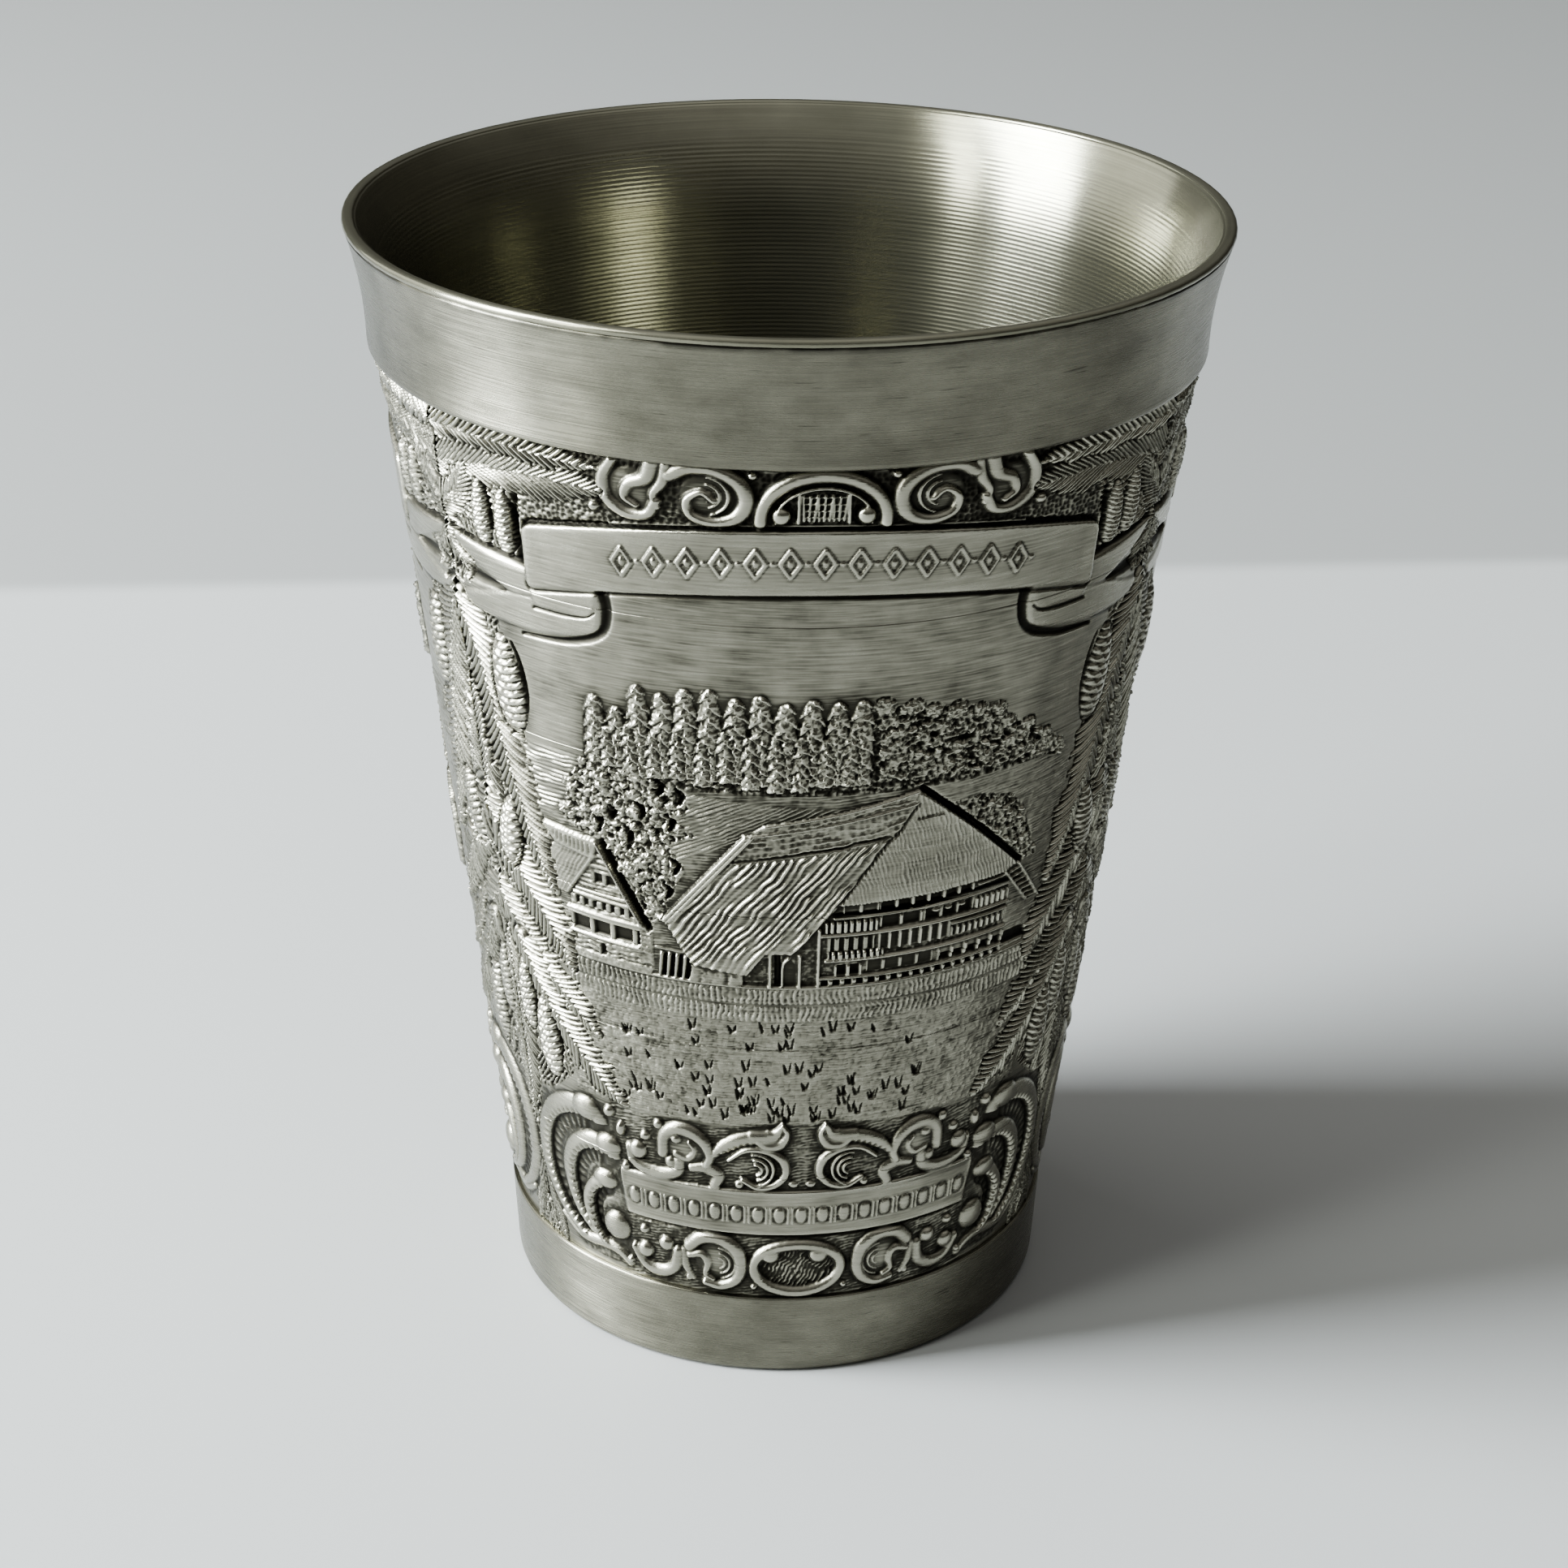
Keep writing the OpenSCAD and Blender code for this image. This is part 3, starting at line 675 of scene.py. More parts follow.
# Brushed slopes between the wood and the roofs: for each the outline, level, bevel and texture.
slopes = [
    ([(-14.5, 29), (-14.5, 36.9), (-11, 36.8), (5, 36.9), (11, 36.7), (14.2, 35.2), (14.2, 25.2), (-14.5, 25.2)],
     0.10, 0.2, layered((strokes, 4, 0.16, 1.3, 0.05, 61), (roughCast, 0.3, 0.03, 62))),
    ([(-14.4, 32.6), (-14.9, 36.8), (-11.6, 36.8), (-12.4, 34.6), (-13.2, 33.4)],
     0.12, 0.2, layered((strokes, 2, 0.24, 1.6, 0.1, 63))),
    ([(-6.6, 32), (-3.2, 33.7), (-2.2, 34.5), (1.5, 35.3), (-1.0, 35.5), (-6, 36.0), (-8, 35)],
     0.12, 0.15, layered((strokes, 28, 0.2, 1.0, 0.09, 64))),
]


def hills(field):
    for outline, level, bevel, texture in slopes:
        plateau(field, outline, level, bevel, texture)
    groove(field, [(4.9, 36.55), (7.5, 36.62), (10.6, 36.35)], 0.14, 0.12)


# The gabled shed at the left: boards, rows of windows and a stone foot.
def shed(field):
    def battens(u, v, depth):
        return 0.09 * (np.cos(2 * np.pi * u / 0.26) > 0) * (depth > 0.22) + 0.05 * (depth < 0.22)

    lean = [(-14.2, 32.55), (-10.8, 32.3), (-11.1, 31.2), (-13.0, 28.6), (-14.6, 28.6)]
    plateau(field, lean, 0.22, 0.1, layered((strokes, 60, 0.22, 1.2, 0.06, 71)))
    wall = [(-13.0, 25.2), (-8.1, 25.2), (-8.1, 27.8), (-8.6, 28.2), (-10.75, 31.9), (-12.8, 28.6)]
    plateau(field, wall, 0.16, 0.1, layered((strokes, 0, 0.3, 0.9, 0.07, 72), (roughCast, 0.2, 0.05, 73)))
    for v0, left, right, top in [(30.75, -11.6, -10.1, 0.24), (29.15, -12.3, -9.5, 0.3),
                                 (28.85, -12.5, -9.3, 0.3), (27.85, -13.0, -8.5, 0.34),
                                 (26.5, -12.95, -8.8, 0.34), (27.65, -12.95, -8.7, 0.3)]:
        ridge(field, [(left, v0), (right, v0 - 0.05)], 0.14, top, foot=0.1)
    for row in [(-12.9, -8.8, 26.65, 27.5, 3.2, 0.0, 0.2, 0.2), (-12.6, -8.9, 28.2, 28.6, 7, 0.06, 0.18,
                                                                 0.5), (-11.3, -9.9, 29.75, 30.3, 2, 0.02,
                                                                        0.16, 0.35)]:
        panes(field, *row)
    plateau(field, [(-11.15, 25.5), (-10.85, 25.5), (-10.85, 26.15), (-11.15, 26.15)], 0.0, 0.06)
    plateau(field, [(-13, 25.0), (-8.2, 25.0), (-8.2, 25.45), (-13, 25.45)], 0.24, 0.1,
            layered((roughCast, 0.3, 0.1, 74)))
    ridge(field, [(-11.05, 31.4), (-12.9, 28.75)], 0.13, 0.36, foot=0.1)
    plateau(field, [(-14.1, 32.45), (-10.8, 32.2), (-11.1, 31.15), (-13.4, 31.5)], 0.26, 0.08, battens)
    groove(field, [(-10.5, 32.2), (-8.25, 27.75)], 0.3, 0.36, (0.9, 0.8))
    ridge(field, [(-10.85, 32.1), (-8.65, 27.9)], 0.12, 0.38, foot=0.1)
    for k in range(4):   # the fence beside it
        ridge(field, [(-7.75 + 0.42 * k, 25.2), (-7.6 + 0.42 * k, 26.4)], 0.16, 0.3, (0.7, 1.1), foot=-0.06)
        groove(field, [(-7.55 + 0.42 * k, 25.2), (-7.42 + 0.42 * k, 26.4)], 0.13, 0.2)
    ridge(field, [(-7.9, 26.75), (-6, 26.65)], 0.1, 0.22)


# The farmhouse: windows of its front from the top down (left, right, low, high, count, level,
# depth and the bars' share), its beams, and the outlines of its roof.
farm = {
    "front": [(-3.4, 25.05), (11.0, 25.05), (11.0, 30.2), (1, 30.2), (-0.6, 27.4), (-3.4, 26.2)],
    "attic": [(1.6, 3.4, 29.3, 29.85, 2, 0.06, 0.14, 0.2), (3.45, 8.7, 29.3, 29.85, 6, -0.06, 0.22, 0.22)],
    "gallery": [(0.75, 3.4, 28.2, 28.85, 8, -0.04, 0.3, 0.62), (3.5, 5.8, 28.3, 28.9, 2, -0.04, 0.2, 0.2),
                (5.9, 8.8, 28.3, 28.9, 3, -0.08, 0.2, 0.16), (8.9, 11, 28.25, 28.9, 6, -0.06, 0.3, 0.5)],
    "upper": [(0.9, 3.3, 27.1, 27.85, 5, -0.02, 0.16, 0.5), (3.5, 7.4, 27.0, 27.95, 7, 0.02, 0.28, 0.28),
              (7.6, 10.9, 27.0, 27.5, 9, -0.04, 0.26, 0.4)],
    "rail": [(0.9, 3.8, 26.65, 27.0, 9, -0.04, 0.3, 0.6)],
    "ground": [(1.3, 2.7, 25.6, 26.2, 2, -0.12, 0.3, 0.28), (2.95, 6.6, 25.75, 26.35, 4, 0.02, 0.14, 0.2),
               (6.9, 11.0, 25.7, 26.4, 5, 0.06, 0.22, 0.16), (6.9, 11.0, 25.7, 26.0, 5, -0.1, 0.3, 0.16)],
    "hip": [(1.2, 29.8), (3.5, 33.3), (5.05, 35.95), (8.3, 33.2), (11.3, 30.3), (10.6, 29.95)],
    "slope": [(-7.35, 28.4), (-6.0, 26.05), (-3.2, 25.65), (-2.25, 27.0), (-0.9, 27.0), (0.35, 28.5), (1.3, 29.7),
              (3.55, 33.45), (1.5, 33.1), (-3.9, 32.2)],
    "cap": [(-3.9, 32.2), (1.5, 33.1), (3.6, 33.45), (4.15, 33.9), (5.0, 35.95), (0.5, 35.0), (-2.4, 34.45),
            (-3.15, 33.85)],
}


def farmhouse(field):
    def fineThatch(u, v, depth):
        return strokes(u, v, -73, 0.2, 0.7, 0.09, 84) - 0.02 * u / 5

    plateau(field, farm["front"], 0.06, 0.1, layered((roughCast, 0.16, 0.07, 81)))
    for row in farm["attic"]:
        panes(field, *row)
    ridge(field, [(9.0, 29.65), (10.9, 29.75)], 0.1, 0.2)
    ridge(field, [(1.2, 29.05), (10.9, 29.2)], 0.1, 0.26)
    groove(field, [(1.2, 29.2), (10.9, 29.38)], 0.14, 0.2)
    for row in farm["gallery"]:
        panes(field, *row)
    for u0 in (6.6, 7.3, 8.1):   # flowers on the gallery
        ball(field, u0, 28.75, 0.26, 0.16, 0.16, -0.04)
    ridge(field, [(0.6, 28.05), (11.0, 28.1)], 0.13, 0.28)
    for row in farm["upper"]:
        panes(field, *row)
    ridge(field, [(7.5, 27.75), (11.0, 27.7)], 0.1, 0.26)
    for row in farm["rail"]:
        panes(field, *row)
    ridge(field, [(0.8, 26.55), (11.0, 26.6)], 0.13, 0.3)
    for row in farm["ground"]:
        panes(field, *row)
    ridge(field, [(0.6, 25.5), (11.0, 25.5)], 0.1, 0.28)
    panes(field, 0.5, 11.0, 25.08, 25.36, 17, -0.1, 0.3, 0.34)
    # corner posts, door and the stone walls under the thatch
    for u0, v1 in [(0.45, 28.4), (-2.0, 27.0), (-0.5, 26.9)]:
        ridge(field, [(u0, 25.1), (u0, v1)], 0.12, 0.28)
    plateau(field, [(-1.75, 25.1), (-1.5, 25.1), (-1.5, 26.9), (-1.75, 26.9)], -0.12, 0.05)
    plateau(field, [(-1.35, 25.1), (-0.7, 25.1), (-0.7, 26.3), (-1.05, 26.8), (-1.35, 26.5)], 0.02, 0.06)
    ridge(field, curve([(-1.38, 25.1), (-1.35, 26.3), (-1.05, 26.75)]), 0.09, 0.24)
    stone = [(-6.2, 25.05), (-3.4, 25.05), (-3.4, 25.8), (-6.0, 25.9)]
    plateau(field, stone, 0.18, 0.08, layered((roughCast, 0.28, 0.1, 82)))
    plateau(field, [(11.05, 25.35), (13.2, 25.4), (13.0, 25.95), (12.4, 26.1), (11.1, 26.05)], -0.14, 0.1)
    # the right-hand hip in fine strokes, the left slope in bold slanting ones, the ridge in layers
    plateau(field, farm["hip"], 0.26, 0.09, fineThatch)
    groove(field, [(11.55, 30.35), (8.55, 33.15), (5.15, 36.15)], 0.26, 0.36, (0.9, 0.7))
    plateau(field, farm["slope"], 0.24, 0.1, layered((strokes, 53, 0.33, 1.5, 0.17, 85)))
    plateau(field, farm["cap"], 0.25, 0.08, layered((strokes, 12, 0.34, 2.4, 0.07, 86),
                                                    (stipple, 0.2, 0.06, 87)))
    for line, width, top in [([(-3.1, 33.85), (0.6, 34.5), (4.95, 35.35)], 0.11, 0.36),
                             ([(-2.3, 34.45), (1.6, 35.2), (4.95, 36.0)], 0.1, 0.34),
                             ([(-3.9, 32.25), (0, 32.95), (1.6, 33.1)], 0.09, 0.3)]:
        ridge(field, line, width, top, foot=0.15)
    groove(field, [(-3.8, 32.35), (0, 33.05), (1.5, 33.22), (2.0, 33.45), (3.7, 33.6)], 0.12, 0.12)
    groove(field, [(5.0, 35.3), (4.15, 33.85), (3.6, 33.3), (1.3, 29.75)], 0.12, 0.12)
    groove(field, [(5.0, 34.45), (6.3, 34.55)], 0.1, 0.08)
    # verge at the left and the ladder-like eave at the right
    for shift in (0, 0.28):
        ridge(field, [(-3.2 + shift, 33.8), (-7.35 + shift, 28.5)], 0.15, 0.42, foot=0.15)
    plateau(field, [(10.55, 29.95), (11.45, 30.2), (13.35, 27.6), (12.35, 27.65)], 0.08, 0.06)
    for line in ([(10.6, 29.9), (12.4, 27.7)], [(11.45, 30.2), (13.35, 27.65)]):
        ridge(field, line, 0.1, 0.28)
    for k in range(7):
        t = (k + 0.5) / 7
        ridge(field, [(10.6 + 1.8 * t, 29.9 - 2.2 * t), (11.5 + 1.85 * t, 30.1 - 2.5 * t)], 0.08, 0.24)


# Leafy clumps between the shed and the roof, and behind the roof at the right.
clumps = {
    "left": [(-12.8, 33.2), (-12.2, 35.4), (-11.4, 36.7), (-8.6, 36.7), (-6.3, 36), (-5.8, 35.2), (-6.6, 34.3),
             (-5.6, 33.6), (-6.9, 33), (-6.2, 31.5), (-7.0, 30.0), (-7.4, 28.7), (-8.0, 28), (-9.5, 30.6),
             (-10.4, 32.3), (-12, 32.7)],
    "gaps": [(-8.35, 34.6), (-7.4, 36.1), (-6.4, 35.7), (-9.9, 34.2), (-6.75, 31.7), (-7.2, 30.2), (-9.1, 33.1),
             (-10.7, 33.3), (-6.9, 34.2)],
    "right": [(6.4, 34.9), (8.3, 35.1), (10.4, 34.5), (11.3, 33.4), (12.2, 31.4), (12.6, 30.4), (11.9, 30.3),
              (8.8, 33.1)],
}


def trees(field):
    foliage(field, clumps["left"], 0.10, 240, (0.16, 0.42), 0.42, 101)
    for u0, v0 in clumps["gaps"]:
        gap = curve([(u0 - 0.1, v0 + 0.4), (u0 + 0.2, v0 + 0.05), (u0 + 0.05, v0 - 0.4)])
        groove(field, gap, 0.26, 0.3, (0.5, 0.5))
    foliage(field, clumps["right"], 0.04, 130, (0.14, 0.36), 0.28, 102)


# Bare sheet with faint level scratches of many lengths.
def brushedSheet(field):
    u, v = field["u"][None, :], field["v"][:, None]
    bow = v + 0.012 * np.sin(u) + 0 * u
    return 0.115 + 0.010 * noise(u / 2.6, bow / 0.13, 15) + 0.008 * noise(u / 1.1 + 5, bow / 0.09, 16)


def frontScene(field):
    hills(field)
    wood(field, 200)
    trees(field)
    meadow(field, 16.2, 23.4, 300)
    for low, high, seed in ((22.9, 23.8, 310), (23.95, 24.85, 320)):
        hedge(field, low, high, -13.5, 13.5, seed)
    ridge(field, [(-13.2, 25.05), (0, 24.98), (13.2, 25.05)], 0.14, 0.26)
    shed(field)
    farmhouse(field)


# A wood and a meadow like the front's, mirrored, for the other two panels.
def countryside(field, seed):
    hills(field)
    wood(field, seed)
    field["h"] = field["h"][:, ::-1].copy()
    meadow(field, 16.2, 23.4, seed + 60)
    hedge(field, 22.9, 23.8, -13.5, 13.5, seed + 70)


# A round-headed opening sunk into a wall, with a raised frame.
def archedWindow(field, u0, low, width, height):
    arch = spiral((0, 0), 1, 1, 0, 180, 9) * width + (u0, low + height)
    outline = np.vstack([[(u0 - width, low), (u0 + width, low)], arch])
    plateau(field, outline, -0.08, 0.06)
    ridge(field, np.vstack([outline, outline[:1]]), 0.08, 0.36, foot=0.1)
    ridge(field, [(u0, low), (u0, low + height)], 0.05, 0.2)


# A roof slope of shingles: rows of short upright strokes, each row's lower edge raised.
def shingled(field, outline, level, seed):
    def rows(u, v, inside):
        step = v / 0.42 - np.floor(v / 0.42)
        return 0.12 * (1 - step) + strokes(u, v, 90, 0.26, 0.4, 0.05, seed)

    plateau(field, outline, level, 0.09, rows)


# The right panel: a chapel with a spire among round trees, a wall and a path before it.
chapel = {
    "trees": [(-9.4, 28.6, 2.2), (-6.9, 27.4, 1.6), (9.6, 28.2, 2.1), (12.0, 27.4, 1.5)],   # place and radius
    "nave": [(-1.6, 24.2), (7.4, 24.2), (7.4, 28.4), (-1.6, 28.4)],
    "naveRoof": [(-1.9, 28.2), (7.9, 28.2), (6.5, 32.2), (-1.0, 32.2)],
    "tower": [(-5.2, 24.2), (-1.9, 24.2), (-1.9, 33.6), (-5.2, 33.6)],
    "towerWindows": [(31.3, 0.5, 1.1), (27.6, 0.36, 1.0), (24.3, 0.6, 1.2)],   # foot, half width, height
    "spire": [(-5.6, 33.7), (-1.5, 33.7), (-2.6, 36.2), (-3.4, 41.6), (-3.7, 41.6), (-4.5, 36.2)],
    "path": [(-4.3, 24.1), (-2.9, 24.1), (-3.4, 21.5), (-1.2, 18.6), (1.6, 16.3), (-2.4, 16.3), (-4.4, 18.8),
             (-5.2, 21.8)],
    "wall": [(3.2, 22.6), (13.0, 22.6), (13.0, 23.9), (3.2, 23.9)],
}


def chapelScene(field):
    countryside(field, 500)
    for k, (u0, v0, size) in enumerate(chapel["trees"]):
        crown = spiral((0, 0), 1, 1, 0, 350, 18) * (size, size * 1.15) + (u0, v0)
        foliage(field, crown, 0.12, 90, (0.16, 0.4), 0.44, 520 + k)
        ridge(field, [(u0, v0 - size * 1.1), (u0, 24.2)], 0.28, 0.34, (0.7, 1.2))
    stone = layered((facets, 0.42, 0.05, 531), (roughCast, 0.16, 0.04, 532))
    plateau(field, chapel["nave"], 0.2, 0.1, stone)
    shingled(field, chapel["naveRoof"], 0.22, 533)
    ridge(field, [(-1.2, 32.25), (6.6, 32.25)], 0.12, 0.42, foot=0.1)
    ridge(field, [(-1.9, 28.15), (7.9, 28.15)], 0.13, 0.42, foot=0.1)
    for k in range(4):
        archedWindow(field, 0.1 + 2.0 * k, 25.2, 0.42, 1.3)
    groove(field, [(-1.75, 24.2), (-1.75, 33.2)], 0.3, 0.3)
    plateau(field, chapel["tower"], 0.27, 0.1, stone)
    ridge(field, [(-5.4, 30.6), (-1.7, 30.6)], 0.13, 0.46, foot=0.2)
    ridge(field, [(-5.5, 33.6), (-1.6, 33.6)], 0.15, 0.46, foot=0.2)
    for low, width, height in chapel["towerWindows"]:
        archedWindow(field, -3.55, low, width, height)
    shingled(field, chapel["spire"], 0.26, 534)
    ball(field, -3.55, 42.0, 0.3, 0.3, 0.44, 0.05)
    plateau(field, chapel["path"], 0.10, 0.25, layered((strokes, -60, 0.22, 1.2, 0.05, 535)))
    plateau(field, chapel["wall"], 0.2, 0.1, layered((facets, 0.55, 0.12, 536)))


# The left panel: a water mill with a steep roof, its wheel, the race and a plank bridge.
mill = {
    "tree": [(-12.6, 27.4), (-12.9, 30.8), (-11.6, 33.6), (-9.2, 34.8), (-7.2, 33.2), (-6.4, 30.2), (-7.4, 27.0),
             (-10, 25.6)],
    "footing": [(-5.6, 24.0), (4.4, 24.0), (4.4, 26.6), (-5.6, 26.6)],
    "gable": [(-5.2, 26.6), (4.0, 26.6), (4.0, 29.8), (-0.6, 36.0), (-5.2, 29.8)],
    "windows": [(-4.4, -2.6, 27.4, 29.2, 2), (-1.6, 0.4, 27.4, 29.2, 2), (-1.5, 0.3, 31.2, 32.6, 3)],
    "roof": [(-0.3, 36.3), (7.2, 35.4), (9.8, 30.0), (5.0, 29.4)],
    "side": [(4.9, 24.0), (9.0, 24.0), (9.0, 30.0), (4.9, 29.6)],
    "race": [(5.6, 23.9), (12.4, 23.9), (9.0, 21.0), (4.6, 18.8), (-1.0, 16.3), (-6.8, 16.3), (-1.6, 19.2), (3.0, 21.4)],
    "hub": (8.3, 26.4),
    "rims": (2.8, 2.15),             # radii of the wheel's two rims
    "paddles": 20,
    "spokes": 8,
    "planks": 9,
}


def millScene(field):
    def boards(u, v, depth):
        return 0.07 * (np.cos(2 * np.pi * u / 0.42) > -0.7) + strokes(u, v, 90, 0.14, 0.9, 0.03, 631)

    countryside(field, 600)
    stone = layered((facets, 0.48, 0.09, 632), (roughCast, 0.2, 0.04, 633))
    foliage(field, mill["tree"], 0.12, 210, (0.18, 0.44), 0.44, 620)
    ridge(field, [(-9.6, 26.8), (-9.4, 24.0)], 0.36, 0.36, (0.7, 1.2))
    plateau(field, mill["footing"], 0.2, 0.1, stone)
    plateau(field, mill["gable"], 0.2, 0.1, boards)
    ridge(field, [(-5.6, 26.6), (4.4, 26.6)], 0.14, 0.42, foot=0.1)
    ridge(field, [(-4.9, 30.2), (3.7, 30.2)], 0.12, 0.38, foot=0.1)
    for row in mill["windows"]:
        panes(field, *row, -0.02, 0.3, 0.3)
    archedWindow(field, -2.4, 24.1, 0.6, 1.3)
    groove(field, [(-0.6, 36.7), (4.9, 29.3)], 0.3, 0.3)
    for s in (-1, 1):
        ridge(field, [(-0.6, 36.4), (-0.6 + 5.2 * s, 29.2)], 0.2, 0.46, foot=0.1)
    shingled(field, mill["roof"], 0.22, 634)
    plateau(field, mill["side"], 0.14, 0.1, stone)
    hub = mill["hub"]
    plateau(field, spiral(hub, 2.9, 2.9, 0, 350, 24), 0.02, 0.1)
    for r in mill["rims"]:
        ridge(field, spiral(hub, r, r, 0, 360, 40), 0.15, 0.42)
    for k in range(mill["paddles"]):
        a = 2 * math.pi * k / mill["paddles"]
        ridge(field, [(hub[0] + r * math.cos(a), hub[1] + r * math.sin(a)) for r in (2.05, 3.05)], 0.1,
              0.36)
    for k in range(mill["spokes"]):
        a = 2 * math.pi * k / mill["spokes"] + math.radians(10)
        ridge(field, [hub, (hub[0] + 2.1 * math.cos(a), hub[1] + 2.1 * math.sin(a))], 0.11, 0.3)
    ball(field, *hub, 0.5, 0.5, 0.48)
    plateau(field, mill["race"], 0.04, 0.3, layered((strokes, 28, 0.34, 2.2, 0.12, 635)))
    for k in range(mill["planks"]):
        plank = [(-1.4 + 0.42 * k, 18.3 + 0.15 * k), (-0.2 + 0.42 * k, 20.4 + 0.15 * k)]
        ridge(field, plank, 0.17, 0.36, foot=0.1)
    for low in (18.0, 20.3):
        ridge(field, [(-2.0 + 0.4 * (low - 18), low), (3.1 + 0.4 * (low - 18), low + 1.9)], 0.11, 0.46,
              foot=0.1)


def blurred(h, reach):  # box blur along both ways, twice, by running sums
    for axis in (0, 1, 0, 1):
        total = np.cumsum(np.insert(h, 0, 0, axis), axis)
        index = np.arange(h.shape[axis])
        low, high = np.maximum(index - reach, 0), np.minimum(index + reach + 1, h.shape[axis])
        count = (high - low).reshape((-1, 1) if axis == 0 else (1, -1))
        h = (np.take(total, high, axis) - np.take(total, low, axis)) / count
    return h


wearing = {
    "fine": (0.15, 2.1),             # a blur's reach in mm and how much the height above it counts
    "broad": (0.55, 2.4, 0.5),       # the same for a wide blur: below it, and above it
    "level": 0.14,                   # heights below this darken
    "mean": 0.58,
}


# Wear from 0 in the deepest recess to 1 on the proudest edge, from the height above its own blur;
# what lies below the wide blur darkens faster than what stands above it brightens.
def wearOf(field):
    cell = field["v"][1] - field["v"][0]
    fine = field["h"] - blurred(field["h"], max(1, round(wearing["fine"][0] / cell)))
    broad = field["h"] - blurred(field["h"], max(2, round(wearing["broad"][0] / cell)))
    broad = broad * np.where(broad < 0, wearing["broad"][1], wearing["broad"][2])
    proud = 0.9 * np.clip(field["h"] - wearing["level"], -1, 0.05)
    return np.clip(wearing["mean"] + wearing["fine"][1] * fine + broad + proud, 0, 1)


def onCone(angle, z, lift):  # the sheet's face at an angle from -Y, lifted outwards
    r = beaker["waist"] - beaker["relief"] + slope * (z - beaker["footTop"]) + lift
    return np.stack([r * np.sin(angle), -r * np.cos(angle), z + 0 * angle + 0 * lift], -1)


# Quads of a grid of points stored row by row; wrap joins the last column to the first.
def quads(rows, columns, wrap=False):
    i, j = np.meshgrid(np.arange(rows - 1), np.arange(columns if wrap else columns - 1), indexing="ij")
    k = (j + 1) % columns
    here, above = i * columns, (i + 1) * columns
    return np.stack([here + j, here + k, above + k, above + j], -1).reshape(-1, 4)


def newPiece(name, points, faces, node, material, flat=0, wear=None, uv=None):
    mesh = bpy.data.meshes.new(name)
    mesh.from_pydata(np.asarray(points).tolist(), [], list(faces))
    smoothFaces = np.ones(len(mesh.polygons), bool)
    if flat:
        smoothFaces[-flat:] = False
    mesh.polygons.foreach_set("use_smooth", smoothFaces)
    if wear is not None:
        patina = mesh.attributes.new("wear", "FLOAT", "POINT")
        patina.data.foreach_set("value", np.asarray(wear, np.float32))
    if uv is not None:
        mesh.uv_layers.new(name="turned").data.foreach_set("uv", np.asarray(uv, np.float32).ravel())
    mesh.update()
    piece = bpy.data.objects.new(name, mesh)
    bpy.context.collection.objects.link(piece)
    mesh.materials.append(material)
    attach(piece, "root")
    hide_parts(node)
    return piece


# The raised face laps over the seam at each side: degrees by height in mm. Low down it nearly
# closes the seam.
seamCover = {"height": [38, 47], "reach": [0.72, 0.56]}


# A closed slice of a panel between two rows: a fine face, a back of one row of quads, four walls.
def panelSlice(name, field, wear, first, last, turn, node, material):
    u, v, h = field["u"], field["v"][first:last + 1], field["h"][first:last + 1]
    rows, columns = h.shape
    cover = np.interp(v, seamCover["height"], seamCover["reach"])[:, None]
    angle = u[None, :] / chart["radius"] * (1 + cover / np.degrees(u[-1] / chart["radius"])) + turn
    face = onCone(angle + 0 * h, v[:, None] * mm, h * mm).reshape(-1, 3)
    flat = np.zeros(columns)
    backs = [onCone(u / chart["radius"] + turn, flat + z * mm, flat - beaker["sheet"])
             for z in (v[0], v[-1])]
    points = np.vstack([face] + backs)
    low, high = rows * columns, rows * columns + columns
    k = np.arange(columns - 1)
    topRow = (rows - 1) * columns
    back = np.stack([low + k + 1, low + k, high + k, high + k + 1], -1).tolist()
    under = np.stack([low + k, low + k + 1, k + 1, k], -1).tolist()
    over = np.stack([topRow + k, topRow + k + 1, high + k + 1, high + k], -1).tolist()
    column = np.arange(rows) * columns
    left = [low] + column.tolist() + [high]
    right = [low + columns - 1] + (column + columns - 1).tolist() + [high + columns - 1]
    rest = back + under + over + [left, right[::-1]]
    faces = quads(rows, columns).tolist() + rest
    patina = np.concatenate([wear[first:last + 1].ravel(), np.full(2 * columns, 0.2)])
    across = np.tile(np.linspace(0, 1, columns), rows + 2)
    up = (points[:, 2] - beaker["footTop"]) / (beaker["rimLow"] - beaker["footTop"])
    loops = np.concatenate([np.ravel(face) for face in faces])
    chartPlace = np.stack([across, up], 1)[loops]
    return newPiece(name, points, faces, node, material, len(rest), patina, chartPlace)


def panel(name, field, slices, turn, node, material):  # one panel, cut into slices of even height
    wear = wearOf(field)
    bounds = np.linspace(0, len(field["v"]) - 1, slices + 1).round().astype(int)
    for k, (first, last) in enumerate(zip(bounds, bounds[1:])):
        panelSlice(name + str(k + 1), field, wear, first, last, turn, node, material)
    print(name, "done in", slices, "slices", flush=True)


